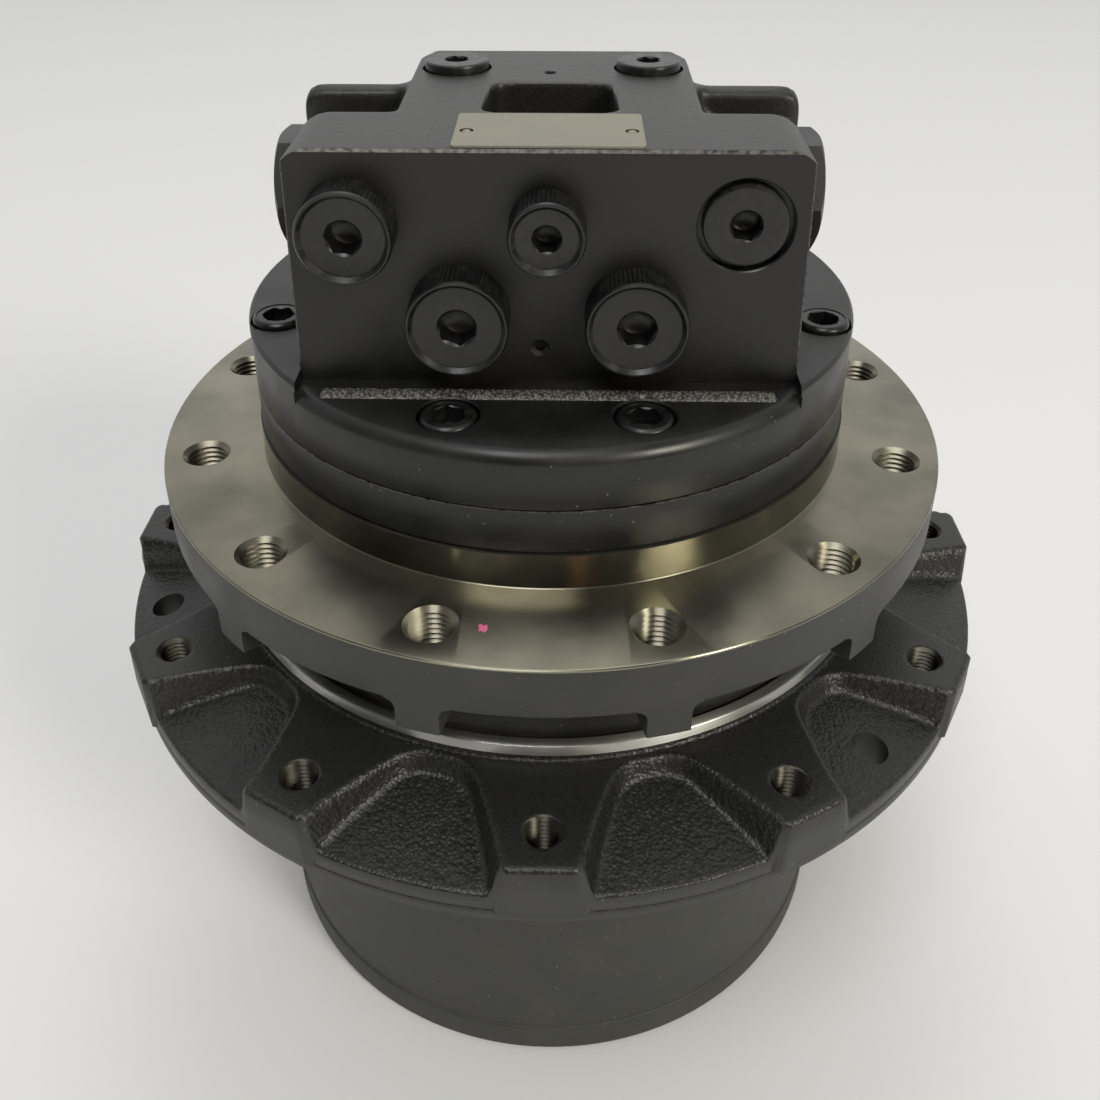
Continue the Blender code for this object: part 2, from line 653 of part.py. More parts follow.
def housing():
    low = COVER_T + GAP
    profile = [
        (0, low), (CASE_R, low), (CASE_R, CASE_NECK_Z), (LIP_R, SPROCKET_LOW_Z),
        (SPROCKET_R, SPROCKET_LOW_Z), (SPROCKET_R, SPROCKET_RIM_Z), (POCKET_IN_R, POCKET_IN_Z),
        (LIP_R, LOBE_TOP_Z), (LIP_R, LIP_TOP_Z), (0, LIP_TOP_Z),
    ]
    body = turned("housing", profile, "cast_black", BIG_STEPS)

    lobes = bmesh.new()
    for i in range(LOBE_COUNT):
        lobe(lobes, 360 * i / LOBE_COUNT)
    boolean(body, lobes, "UNION", "housing_lobes")

    holes = bmesh.new()
    start_z = SPROCKET_LOW_Z - FRAME_PLATE_T
    length = LOBE_TOP_Z - SPROCKET_LOW_Z + 2 * FRAME_PLATE_T
    for i in range(LOBE_COUNT):
        spot = polar(SPROCKET_HOLE_CIRCLE_R, 360 * i / LOBE_COUNT)
        cylinder(holes, SPROCKET_HOLE_R, (spot.x, spot.y, start_z), (0, 0, 1), length, HOLE_STEPS)
    for angle in JIG_HOLE_ANGLES:
        spot = polar(SPROCKET_HOLE_CIRCLE_R, angle)
        cylinder(holes, JIG_HOLE_R, (spot.x, spot.y, start_z), (0, 0, 1), length, HOLE_STEPS)
    boolean(body, holes, "DIFFERENCE", "housing_holes")

    shelf_low = LOW_RACE_Z + RACE_W + GAP
    shelf_top = HIGH_RACE_Z - GAP
    step_z = SKIRT_END_Z - 2 * RUN_GAP
    hollow = clear(RING_ROOT_R + GAP, INNER_STEPS)
    start = low - COVER_T
    end = LIP_TOP_Z + COVER_T
    cavity = bmesh.new()
    profile = [
        (0, start), (hollow, start), (hollow, RING_LOW_Z), (BEARING_BORE_R, RING_LOW_Z),
        (BEARING_BORE_R, shelf_low), (BEARING_SHOULDER_R, shelf_low),
        (BEARING_SHOULDER_R, shelf_top), (BEARING_BORE_R, shelf_top),
        (BEARING_BORE_R, SEAL_FLOOR_Z), (SEAL_ROOM_R, SEAL_FLOOR_Z), (SEAL_ROOM_R, step_z),
        (LIP_IN_R, step_z), (LIP_IN_R, end), (0, end),
    ]
    revolve(cavity, profile, INNER_STEPS)
    boolean(body, cavity, "DIFFERENCE", "housing_cavity")

    spaces = bmesh.new()
    rows = gear_rows(RING_TEETH, MODULE * DEDENDUM_SHARE, MODULE * ADDENDUM_SHARE, -BACKLASH)
    outline = []
    for k in range(RING_TEETH):
        outline += tooth_points(rows, 360 * (k + 0.5) / RING_TEETH)
    prism(spaces, outline, (low + RING_LOW_Z) / 2, RING_TOP_Z)
    boolean(body, spaces, "DIFFERENCE", "ring_gear_spaces")


def cover():
    profile = [
        (0, COVER_DISH_H), (COVER_DISH_R, COVER_DISH_H), (COVER_DISH_R + COVER_DISH_H, 0),
        (COVER_R - COVER_CHAMFER, 0), (COVER_R, COVER_CHAMFER), (COVER_R, COVER_T),
        (COVER_SPIGOT_R, COVER_T), (COVER_SPIGOT_R, COVER_T + COVER_SPIGOT_H),
        (0, COVER_T + COVER_SPIGOT_H),
    ]
    plate = turned("cover", profile, "case_paint", BIG_STEPS)
    holes = bmesh.new()
    spot = polar(COVER_PLUG_CIRCLE_R, 0)
    start = (spot.x, spot.y, -COVER_T)
    cylinder(holes, COVER_PLUG_R + GAP, start, (0, 0, 1), 3 * COVER_T)
    boolean(plate, holes, "DIFFERENCE", "cover_plug_hole")
    profile = [(0, RIM_CHAMFER), (COVER_PLUG_R, RIM_CHAMFER), (COVER_PLUG_R, COVER_T), (0, COVER_T)]
    plug = turned("cover_plug", profile, "screw_black", SMALL_STEPS, spot)
    socket = bmesh.new()
    place = Matrix.Translation(spot)
    prism(socket, hexagon(COVER_PLUG_HEX), -COVER_T, COVER_T / 2, place)
    boolean(plug, socket, "DIFFERENCE", "cover_plug_socket")


# Main bearings and floating seal
def bearing(name, low):
    """One angular contact bearing: two races with a ball groove and a caged ring of balls."""
    high = low + RACE_W
    middle = (low + high) / 2
    groove = (BALL_R + GAP) * math.sqrt(2)
    rise = groove - (BALL_CIRCLE_R - RACE_IN_OUT_R)
    deep = BALL_CIRCLE_R - groove
    inner = JOURNAL_R + GAP
    inner_race = [
        (inner, low), (RACE_IN_OUT_R, low), (RACE_IN_OUT_R, middle - rise), (deep, middle),
        (RACE_IN_OUT_R, middle + rise), (RACE_IN_OUT_R, high), (inner, high),
    ]
    turned(name + "_inner_race", inner_race, "bearing_steel", INNER_STEPS)
    outer = BEARING_BORE_R - GAP
    rise = groove - (RACE_OUT_IN_R - BALL_CIRCLE_R)
    deep = clear(BALL_CIRCLE_R + groove, INNER_STEPS)
    edge = clear(RACE_OUT_IN_R, INNER_STEPS)
    outer_race = [
        (outer, low), (outer, high), (edge, high), (edge, middle + rise),
        (deep, middle), (edge, middle - rise), (edge, low),
    ]
    turned(name + "_outer_race", outer_race, "bearing_steel", INNER_STEPS)
    cage(name + "_balls", middle)


def cage(name, middle):
    """Caged balls as one bead chain: each ball is a short barrel between two thin bars."""
    mesh_data = bmesh.new()
    span = 360 / BALL_COUNT
    shoulder = math.degrees(BALL_R / 2 / BALL_CIRCLE_R)
    sections = []
    for i in range(BALL_COUNT):
        centre = span * i
        for angle, radius in (
            (centre - shoulder, BALL_R), (centre + shoulder, BALL_R), (centre + span / 2, CAGE_HALF_T),
        ):
            ring = []
            for k in range(BALL_SIDES):
                turn = 2 * math.pi * k / BALL_SIDES
                spot = polar(BALL_CIRCLE_R + radius * math.cos(turn), angle)
                ring.append(mesh_data.verts.new((spot.x, spot.y, radius * math.sin(turn))))
            sections.append(ring)
    for ring, after in zip(sections, sections[1:] + sections[:1]):
        for k in range(BALL_SIDES):
            j = (k + 1) % BALL_SIDES
            mesh_data.faces.new([ring[k], ring[j], after[j], after[k]])
    finish(name, mesh_data, "bearing_steel", (0, 0, middle))


def seal_ring(name, low, high):
    """Floating seal ring: lapped face towards its twin, sloped back for the O-ring."""
    face, back = (high, low) if name.endswith("rotating") else (low, high)
    step = (back - face) / 3
    profile = [
        (SEAL_RING_IN_R, face), (SEAL_RING_OUT_R, face), (SEAL_RING_OUT_R, face + step),
        (SEAL_RING_OUT_R - SEAL_RING_SLOPE, back), (SEAL_RING_IN_R, back),
    ]
    turned(name, profile, "bearing_steel", MID_STEPS)


# Planetary train
def stage_one():
    circle_r = PLANET_CIRCLE_R
    plate_low = CARRIER_1_LOW_Z
    plate_top = plate_low + CARRIER_1_T
    bore = clear(SUN_2_SPIGOT_R + GAP, MID_STEPS)
    carrier = tube("carrier_1", bore, CARRIER_1_R, plate_low, plate_top, "gear_steel", MID_STEPS)
    pins = bmesh.new()
    for i in range(PLANET_COUNT):
        theta = 360 * i / PLANET_COUNT
        spot = polar(circle_r, theta)
        phase = planet_phase(theta, PLANET_TEETH)
        bore = clear(PIN_1_R + RUN_GAP, PLANET_TEETH)
        path = [(bore, GEAR_1_LOW_Z + GEAR_1_T), (bore, GEAR_1_LOW_Z)]
        gear("planet_1_%d" % (i + 1), PLANET_TEETH, path, GEAR_1_LOW_Z, GEAR_1_T, phase,
             "gear_steel", spot)
        start = (spot.x, spot.y, GEAR_1_LOW_Z - GAP)
        length = plate_top - CARRIER_1_T / 2 - start[2]
        cylinder(pins, PIN_1_R, start, (0, 0, 1), length, HOLE_STEPS)
    boolean(carrier, pins, "UNION", "carrier_1_pins")

    phase = sun_phase(0, planet_phase(0, PLANET_TEETH), PLANET_TEETH, SUN_TEETH)
    sun = bmesh.new()
    outline = []
    for k in range(SUN_TEETH):
        outline += tooth_points(external_rows(SUN_TEETH), phase + 360 * k / SUN_TEETH)
    prism(sun, outline, GEAR_1_LOW_Z, GEAR_1_LOW_Z + GEAR_1_T)
    body = finish("sun_1", sun, "gear_steel")
    shank = bmesh.new()
    shank_top = SHAFT_LOW_Z - GAP
    tip_top = shank_top + SUN_1_SPIGOT_L
    profile = [
        (0, GEAR_1_LOW_Z + GEAR_1_T / 2), (SUN_1_SHANK_R, GEAR_1_LOW_Z + GEAR_1_T / 2),
        (SUN_1_SHANK_R, shank_top), (0, shank_top),
    ]
    revolve(shank, profile, SMALL_STEPS)
    boolean(body, shank, "UNION", "sun_1_shank")
    tip = bmesh.new()
    prism(tip, hexagon(SUN_1_SPIGOT_R * math.sqrt(3)), (shank_top + CARRIER_2_LOW_Z) / 2, tip_top)
    boolean(body, tip, "UNION", "sun_1_spigot")


def stage_two():
    circle_r = PLANET_CIRCLE_R
    plate_top = CARRIER_2_LOW_Z + CARRIER_2_T
    plate = tube("carrier_2", CARRIER_2_BORE_R, CARRIER_2_R, CARRIER_2_LOW_Z, plate_top,
                 "gear_steel", MID_STEPS)
    holes = bmesh.new()
    for i in range(PLANET_COUNT):
        theta = 360 * i / PLANET_COUNT
        spot = polar(circle_r, theta)
        phase = planet_phase(theta, PLANET_TEETH)
        bore = clear(PIN_2_R + RUN_GAP, PLANET_TEETH)
        path = [(bore, GEAR_2_LOW_Z + GEAR_2_T), (bore, GEAR_2_LOW_Z)]
        gear("planet_2_%d" % (i + 1), PLANET_TEETH, path, GEAR_2_LOW_Z, GEAR_2_T, phase,
             "gear_steel", spot)
        start = (spot.x, spot.y, CARRIER_2_LOW_Z - CARRIER_2_T)
        cylinder(holes, PIN_2_R + GAP, start, (0, 0, 1), 3 * CARRIER_2_T, HOLE_STEPS)
        profile = [
            (0, GEAR_2_LOW_Z), (PIN_2_R, GEAR_2_LOW_Z), (PIN_2_R, PIN_2_TOP_Z), (0, PIN_2_TOP_Z),
        ]
        turned("pin_2_%d" % (i + 1), profile, "bearing_steel", HOLE_STEPS, spot)
    boolean(plate, holes, "DIFFERENCE", "carrier_2_pin_holes")

    phase = sun_phase(0, planet_phase(0, PLANET_TEETH), PLANET_TEETH, SUN_TEETH)
    low = CARRIER_1_LOW_Z + GAP
    path = [
        (SUN_2_BORE_R, GEAR_2_LOW_Z + GEAR_2_T), (SUN_2_BORE_R, low), (SUN_2_SPIGOT_R, low),
        (SUN_2_SPIGOT_R, GEAR_2_LOW_Z),
    ]
    gear("sun_2", SUN_TEETH, path, GEAR_2_LOW_Z, GEAR_2_T, phase, "gear_steel")


# Swash-plate motor
def tilted():
    return Matrix.Rotation(math.radians(TILT), 4, "X")


def shaft():
    profile = [
        (0, SHAFT_LOW_Z), (SHAFT_R, SHAFT_LOW_Z), (SHAFT_R, BLOCK_LOW_Z), (SHAFT_SPLINE_R, BLOCK_LOW_Z),
        (SHAFT_SPLINE_R, BLOCK_TOP_Z), (SHAFT_R, BLOCK_TOP_Z), (SHAFT_R, SHAFT_TOP_Z), (0, SHAFT_TOP_Z),
    ]
    body = turned("shaft", profile, "gear_steel", MID_STEPS)
    socket = bmesh.new()
    flats = (SUN_1_SPIGOT_R + GAP) * math.sqrt(3)
    prism(socket, hexagon(flats), SHAFT_LOW_Z - SHAFT_SOCKET_L, SHAFT_LOW_Z + SHAFT_SOCKET_L)
    boolean(body, socket, "DIFFERENCE", "shaft_socket")
    inner = clear(SHAFT_R + GAP, MID_STEPS)
    outer = (SHAFT_BORE_R - GAP) * math.cos(math.pi / INNER_STEPS)
    low = ROOM_FLOOR_Z - BUSH_L
    tube("front_bush", inner, outer, low, ROOM_FLOOR_Z, "bronze", MID_STEPS)
    low = MOTOR_RING_TOP_Z - REAR_BOSS_H
    tube("rear_bush", inner, outer, low, low + BUSH_L / 2, "bronze", MID_STEPS)


def swash_plate():
    """Wedge on the room floor whose sloped face carries the slipper ring."""
    low = ROOM_FLOOR_Z + GAP
    slope = math.tan(math.radians(TILT))
    face = BALL_PLANE_Z - (SLIPPER_PLATE_LOW + GAP) / math.cos(math.radians(TILT))
    mesh_data = bmesh.new()
    loops = []
    for radius in (SWASH_R, SWASH_BORE_R):
        bottom = []
        top = []
        for i in range(MID_STEPS):
            spot = polar(radius, 360 * i / MID_STEPS)
            bottom.append(mesh_data.verts.new((spot.x, spot.y, low)))
            top.append(mesh_data.verts.new((spot.x, spot.y, face + slope * spot.y)))
        loops.append((bottom, top))
    (out_low, out_top), (in_low, in_top) = loops
    for i in range(MID_STEPS):
        j = (i + 1) % MID_STEPS
        mesh_data.faces.new([out_low[i], out_low[j], out_top[j], out_top[i]])
        mesh_data.faces.new([in_low[j], in_low[i], in_top[i], in_top[j]])
        mesh_data.faces.new([out_top[i], out_top[j], in_top[j], in_top[i]])
        mesh_data.faces.new([out_low[j], out_low[i], in_low[i], in_low[j]])
    finish("swash_plate", mesh_data, "gear_steel")


def piston_angles():
    return [360 * i / PISTON_COUNT for i in range(PISTON_COUNT)]


def swash_circle_r():
    """Ball circle on the slope whose plan view stays closest to the bores' circle."""
    return 2 * PISTON_CIRCLE_R / (1 + math.cos(math.radians(TILT)))


def slipper_ring():
    profile = [
        (SLIPPER_RING_IN_R, -SLIPPER_PLATE_LOW), (SLIPPER_RING_OUT_R, -SLIPPER_PLATE_LOW),
        (SLIPPER_RING_OUT_R, SLIPPER_PLATE_T - SLIPPER_PLATE_LOW),
        (SLIPPER_RING_IN_R, SLIPPER_PLATE_T - SLIPPER_PLATE_LOW),
    ]
    centre = (0, 0, BALL_PLANE_Z)
    ring = turned("slipper_ring", profile, "bronze", MID_STEPS, centre, tilted())
    cups = bmesh.new()
    wells = bmesh.new()
    for angle in piston_angles():
        place = Matrix.Translation(centre) @ tilted()
        spot = place @ polar(swash_circle_r(), angle)
        normal = tilted() @ Vector((0, 0, 1))
        start = spot - normal * (SLIPPER_PLATE_LOW - SLIPPER_PLATE_T / 2)
        length = SLIPPER_PLATE_LOW - SLIPPER_PLATE_T / 2 + SLIPPER_CUP_TOP
        cylinder(cups, SLIPPER_CUP_R, start, normal, length, SMALL_STEPS)
        start = spot - normal * (PISTON_BALL_R + GAP)
        well_r = clear(PISTON_BALL_R + GAP, SMALL_STEPS)
        cylinder(wells, well_r, start, normal, 2 * length, SMALL_STEPS)
    boolean(ring, cups, "UNION", "slipper_cups")
    boolean(ring, wells, "DIFFERENCE", "slipper_wells")


def pistons():
    """Pistons with a ball foot, hollow from the back; each origin is its ball centre on the slope."""
    place = Matrix.Translation((0, 0, BALL_PLANE_Z)) @ tilted()
    ball_side = math.sqrt(PISTON_BALL_R**2 - PISTON_NECK_R**2)
    bevel = PISTON_R - PISTON_NECK_R
    profile = [
        (0, -PISTON_BALL_R * math.sqrt(0.5)),
        (PISTON_BALL_R * math.sqrt(0.5), -PISTON_BALL_R * math.sqrt(0.5)),
        (PISTON_BALL_R, 0), (PISTON_NECK_R, ball_side), (PISTON_NECK_R, PISTON_NECK_L),
        (PISTON_R, PISTON_NECK_L + bevel), (PISTON_R, PISTON_L), (PISTON_HOLLOW_R, PISTON_L),
        (PISTON_HOLLOW_R, PISTON_L - PISTON_HOLLOW_L), (0, PISTON_L - PISTON_HOLLOW_L),
    ]
    for i, angle in enumerate(piston_angles()):
        spot = place @ polar(swash_circle_r(), angle)
        turned("piston_%d" % (i + 1), profile, "bearing_steel", SMALL_STEPS, spot)


def cylinder_block():
    block = tube("cylinder_block", SHAFT_SPLINE_R + GAP, BLOCK_R, BLOCK_LOW_Z, BLOCK_TOP_Z,
                 "gear_steel", MID_STEPS)
    bores = bmesh.new()
    for angle in piston_angles():
        spot = polar(PISTON_CIRCLE_R, angle)
        start = (spot.x, spot.y, BLOCK_LOW_Z - PISTON_NECK_L)
        radius = clear(PISTON_R + BORE_SLACK, SMALL_STEPS)
        profile = [
            (0, 0), (radius, 0), (radius, BORE_TOP_Z - start[2]), (PORT_R, BORE_TOP_Z - start[2]),
            (PORT_R, BLOCK_TOP_Z + PISTON_NECK_L - start[2]),
            (0, BLOCK_TOP_Z + PISTON_NECK_L - start[2]),
        ]
        revolve(bores, profile, SMALL_STEPS, Matrix.Translation(start))
    boolean(block, bores, "DIFFERENCE", "cylinder_bores")
    drive_teeth(block)


def drive_outline(inner, height, slack):
    """Square drive teeth around a circle, as one closed outline."""
    points = []
    half = 360 / DRIVE_TOOTH_COUNT / 4 - math.degrees(slack / inner)
    for k in range(DRIVE_TOOTH_COUNT):
        angle = 360 * k / DRIVE_TOOTH_COUNT
        for radius, turn in ((inner, -half), (inner + height, -half), (inner + height, half), (inner, half)):
            points.append(tuple(polar(radius, angle + turn))[:2])
    return points


def drive_teeth(block):
    """Teeth on the block that carry the brake's friction disc."""
    teeth = bmesh.new()
    low = BRAKE_BORE_Z - DISC_T
    high = BRAKE_SKIRT_LOW_Z
    outline = drive_outline(BLOCK_R - DRIVE_TOOTH_H / 2, DRIVE_TOOTH_H, GAP)
    for k in range(DRIVE_TOOTH_COUNT):
        prism(teeth, outline[4 * k:4 * k + 4], low, high)
    boolean(block, teeth, "UNION", "block_drive_teeth")


def valve_plate():
    """Plate with two kidney ports between the block and the rear flange."""
    low = BLOCK_TOP_Z + GAP
    high = low + VALVE_PLATE_T
    plate = tube("valve_plate", SHAFT_R + RUN_GAP, BLOCK_R, low, high, "bronze", MID_STEPS)
    ports = bmesh.new()
    half = VALVE_PORT_SWEEP / 2
    for middle in (90, 270):
        outer = arc((0, 0), PISTON_CIRCLE_R + VALVE_PORT_HALF, middle - half, middle + half, 6)
        inner = arc((0, 0), PISTON_CIRCLE_R - VALVE_PORT_HALF, middle + half, middle - half, 6)
        prism(ports, outer + inner, low - VALVE_PLATE_T, high + VALVE_PLATE_T)
    boolean(plate, ports, "DIFFERENCE", "valve_plate_ports")


# Parking brake
def brake():
    low = BRAKE_BORE_Z + GAP
    outer = (BRAKE_BORE_R - GAP) * math.cos(math.pi / INNER_STEPS)
    tube("separator_plate", PLATE_IN_R, outer, low, low + DISC_T, "gear_steel")
    low += DISC_T + GAP
    disc = tube("friction_disc", BLOCK_R + GAP, DISC_OUT_R, low, low + DISC_T, "friction_lining")
    notches = bmesh.new()
    outline = drive_outline(BLOCK_R - DRIVE_TOOTH_H / 2, DRIVE_TOOTH_H + GAP, 0)
    prism(notches, outline, low - DISC_T, low + 2 * DISC_T)
    boolean(disc, notches, "DIFFERENCE", "friction_disc_notches")
    profile = [
        (BRAKE_PISTON_IN_R, BRAKE_SKIRT_LOW_Z), (BRAKE_SKIRT_R - SLIDE_GAP, BRAKE_SKIRT_LOW_Z),
        (BRAKE_SKIRT_R - SLIDE_GAP, BRAKE_HEAD_Z), (BRAKE_PISTON_R, BRAKE_HEAD_Z),
        (BRAKE_PISTON_R, BRAKE_PISTON_TOP_Z), (BRAKE_PISTON_IN_R, BRAKE_PISTON_TOP_Z),
    ]
    turned("brake_piston", profile, "gear_steel", MID_STEPS)


def motor_ring():
    low = FRAME_TOP_Z + PILOT_H + GAP
    profile = [
        (BRAKE_SKIRT_R + GAP, low), (BODY_R, low), (BODY_R, MOTOR_RING_TOP_Z - GAP),
        (BRAKE_PISTON_R + SLIDE_GAP, MOTOR_RING_TOP_Z - GAP),
        (BRAKE_PISTON_R + SLIDE_GAP, BRAKE_HEAD_Z - SLIDE_GAP),
        (BRAKE_SKIRT_R + GAP, BRAKE_HEAD_Z - SLIDE_GAP),
    ]
    ring = turned("motor_ring", profile, "black_paint", BIG_STEPS)
    holes = bmesh.new()
    for x, y in screw_spots():
        start = (x, y, low - PILOT_H)
        cylinder(holes, SCREW_BORE_R, start, (0, 0, 1), 3 * PILOT_H, HOLE_STEPS)
    boolean(ring, holes, "DIFFERENCE", "motor_ring_holes")


# Rear flange with the valve block
def surface_height(y):
    return LEDGE_Z if y < -BLOCK_FRONT_Y else FLANGE_TOP_Z


def rear_flange():
    boss_low = MOTOR_RING_TOP_Z - REAR_BOSS_H
    bush_top = boss_low + BUSH_L / 2
    profile = [
        (SHAFT_BORE_R, boss_low), (REAR_SPIGOT_R, boss_low), (REAR_SPIGOT_R, MOTOR_RING_TOP_Z),
        (BODY_R, MOTOR_RING_TOP_Z), (BODY_R, FLANGE_TOP_Z - RIM_CHAMFER),
        (BODY_R - RIM_CHAMFER, FLANGE_TOP_Z), (0, FLANGE_TOP_Z), (0, bush_top + SHAFT_R),
        (SHAFT_BORE_R, bush_top + SHAFT_R),
    ]
    body = turned("rear_flange", profile, "black_paint", BIG_STEPS)

    ledge = bmesh.new()
    outline = box_outline(-LEDGE_HALF, LEDGE_HALF, -BODY_R - BLOCK_FRONT_Y, -BLOCK_FRONT_Y)
    prism(ledge, outline, LEDGE_Z, BLOCK_HIGH_Z)
    boolean(body, ledge, "DIFFERENCE", "front_ledge")

    base_z = (LEDGE_Z + MOTOR_RING_TOP_Z) / 2
    corner = BAR_CORNER
    facing = Matrix.Rotation(math.radians(90), 4, "X")
    bar = bmesh.new()
    round_z = BLOCK_HIGH_Z - corner
    outline = [(-BLOCK_HALF, base_z), (BLOCK_HALF, base_z)]
    outline += arc((BLOCK_HALF - corner, round_z), corner, 90, 180, 3)
    outline += arc((corner - BLOCK_HALF, round_z), corner, 180, 270, 3)
    prism(bar, outline, BAR_BACK_Y, BLOCK_FRONT_Y, facing)
    boolean(body, bar, "UNION", "front_bar")

    sideways = Matrix.Rotation(math.radians(90), 4, "Z") @ Matrix.Rotation(math.radians(90), 4, "X")
    shoulder = bmesh.new()
    outline = box_outline(-BLOCK_HALF, BLOCK_HALF, -BAR_BACK_Y - corner, RIDGE_FRONT_Y + corner)
    prism(shoulder, outline, base_z, VALLEY_Z)
    boolean(body, shoulder, "UNION", "rear_shoulders")

    ridges = bmesh.new()
    half = RIDGE_HALF
    rings = []
    for y, top in ((RIDGE_FRONT_Y, RIDGE_HIGH_Z - corner / 2), (RIDGE_FRONT_Y + corner, RIDGE_HIGH_Z),
                   (RIDGE_END_Y, RIDGE_END_Z)):
        outline = [(-half, base_z), (half, base_z)]
        outline += arc((half - corner, top - corner), corner, 90, 180, 3)
        outline += arc((corner - half, top - corner), corner, 180, 270, 3)
        rings.append([ridges.verts.new((x, y, z)) for x, z in outline])
    ridges.faces.new(rings[0])
    ridges.faces.new(rings[-1])
    for near, far in zip(rings, rings[1:]):
        for i in range(len(near)):
            j = (i + 1) % len(near)
            ridges.faces.new([near[i], near[j], far[j], far[i]])
    boolean(body, ridges, "UNION", "side_ridges")

    table = bmesh.new()
    front = -BAR_BACK_Y - corner
    outline = [
        (-TABLE_HALF, front), (TABLE_HALF, front), (TABLE_HALF, TABLE_BACK_Y - 2 * corner),
        (TABLE_END_HALF, TABLE_BACK_Y), (-TABLE_END_HALF, TABLE_BACK_Y),
        (-TABLE_HALF, TABLE_BACK_Y - 2 * corner),
    ]
    prism(table, outline, base_z, BLOCK_HIGH_Z)
    boolean(body, table, "UNION", "rear_table")

    pocket = bmesh.new()
    outline = box_outline(-POCKET_HALF, POCKET_HALF, -BAR_BACK_Y, POCKET_BACK_Y)
    prism(pocket, outline, BLOCK_HIGH_Z - POCKET_D, BLOCK_HIGH_Z + POCKET_D)
    boolean(body, pocket, "DIFFERENCE", "top_pocket")
    boolean(body, block_bores(), "DIFFERENCE", "block_bores")
    boolean(body, spool_bore(), "DIFFERENCE", "spool_bore")


def plug_table():
    """Name, radius, x, z, head height outside the face and spot-face radius of each front plug."""
    return [
        ("plug_upper_left", MIDDLE_PLUG_R, -UPPER_PLUG_X, UPPER_PLUG_Z, PLUG_HEAD_H, 0),
        ("plug_upper_middle", SMALL_PLUG_R, 0, UPPER_PLUG_Z, PLUG_HEAD_H, 0),
        ("plug_flat", FLAT_PLUG_R, UPPER_PLUG_X, UPPER_PLUG_Z, 0, FLAT_SPOT_R),
        ("plug_lower_left", LARGE_PLUG_R, -LOWER_PLUG_X, LOWER_PLUG_Z, PLUG_HEAD_H, 0),
        ("plug_lower_right", LARGE_PLUG_R, LOWER_PLUG_X, LOWER_PLUG_Z, PLUG_HEAD_H, 0),
    ]


def block_bores():
    bores = bmesh.new()
    inward = (0, 1, 0)
    for name, radius, x, z, proud, spot_r in plug_table():
        stem = clear(radius * PLUG_STEM_SHARE + GAP, HOLE_STEPS)
        start_y = -BLOCK_FRONT_Y - PLUG_HEAD_H
        depth = PLUG_HEAD_H + PLUG_STEM_L + 2 * GAP
        if spot_r:
            spot_r = clear(spot_r, HOLE_STEPS)
            place = along(inward, (x, start_y, z))
            deep = PLUG_HEAD_H + FLAT_SPOT_D + GAP
            total = deep + PLUG_STEM_L + GAP
            profile = [(0, 0), (spot_r, 0), (spot_r, deep), (stem, deep), (stem, total), (0, total)]
            revolve(bores, profile, HOLE_STEPS, place)
        else:
            cylinder(bores, stem, (x, start_y, z), inward, depth, HOLE_STEPS)
    for x, y in screw_spots():
        surface = surface_height(y)
        seat = surface + SCREW_PROUD - SCREW_HEAD_H - GAP
        low = MOTOR_RING_TOP_Z - SCREW_HEAD_H
        high = surface + SCREW_HEAD_H
        wide = clear(SCREW_HEAD_R + GAP, HOLE_STEPS)
        profile = [
            (0, low), (SCREW_BORE_R, low), (SCREW_BORE_R, seat), (wide, seat), (wide, high), (0, high),
        ]
        revolve(bores, profile, HOLE_STEPS, Matrix.Translation((x, y, 0)))
    for side in (-1, 1):
        stem = clear(TOP_PLUG_R * PLUG_STEM_SHARE + GAP, HOLE_STEPS)
        floor = BLOCK_HIGH_Z - TOP_PLUG_SINK - GAP
        deep = floor - PLUG_STEM_L - GAP
        high = BLOCK_HIGH_Z + PLUG_STEM_L
        spot = clear(TOP_PLUG_R + GAP, HOLE_STEPS)
        profile = [(0, deep), (stem, deep), (stem, floor), (spot, floor), (spot, high), (0, high)]
        place = Matrix.Translation((side * TOP_PLUG_X, TOP_PLUG_Y, 0))
        revolve(bores, profile, HOLE_STEPS, place)
        start = (side * PORT_FACE_SPACING / 2, TABLE_BACK_Y + PORT_BORE_D, PORT_Z)
        cylinder(bores, PORT_BORE_R, start, (0, -1, 0), 2 * PORT_BORE_D)
    start = (0, TABLE_BACK_Y + PORT_BORE_D, DRAIN_Z)
    cylinder(bores, DRAIN_R, start, (0, -1, 0), 2 * PORT_BORE_D)
    return bores


def spool_bore():
    """Bore across the block for the counterbalance spool, opened out at both ends for the caps."""
    bore = bmesh.new()
    wide = clear(CAP_STEM_R + GAP, SMALL_STEPS)
    end = RIDGE_HALF + CAP_HEAD_L
    seat = BLOCK_HALF - CAP_STEM_L - GAP
    profile = [
        (0, -end), (wide, -end), (wide, -seat), (SPOOL_BORE_R, -seat), (SPOOL_BORE_R, seat),
        (wide, seat), (wide, end), (0, end),
    ]
    revolve(bore, profile, SMALL_STEPS, along((1, 0, 0), (0, SPOOL_Y, SPOOL_Z)))
    return bore


def spool():
    lands = []
    reach = SPOOL_HALF - SPOOL_LAND_HALF
    for k in range(SPOOL_LAND_COUNT):
        middle = reach * (2 * k / (SPOOL_LAND_COUNT - 1) - 1)
        low = middle - SPOOL_LAND_HALF
        high = middle + SPOOL_LAND_HALF
        lands += [(SPOOL_WAIST_R, low), (SPOOL_LAND_R, low), (SPOOL_LAND_R, high), (SPOOL_WAIST_R, high)]
    profile = [(0, -SPOOL_HALF)] + lands[1:-1] + [(0, SPOOL_HALF)]
    quarter = Matrix.Rotation(math.radians(90), 4, "Y")
    turned("counterbalance_spool", profile, "bearing_steel", SMALL_STEPS, (0, SPOOL_Y, SPOOL_Z), quarter)


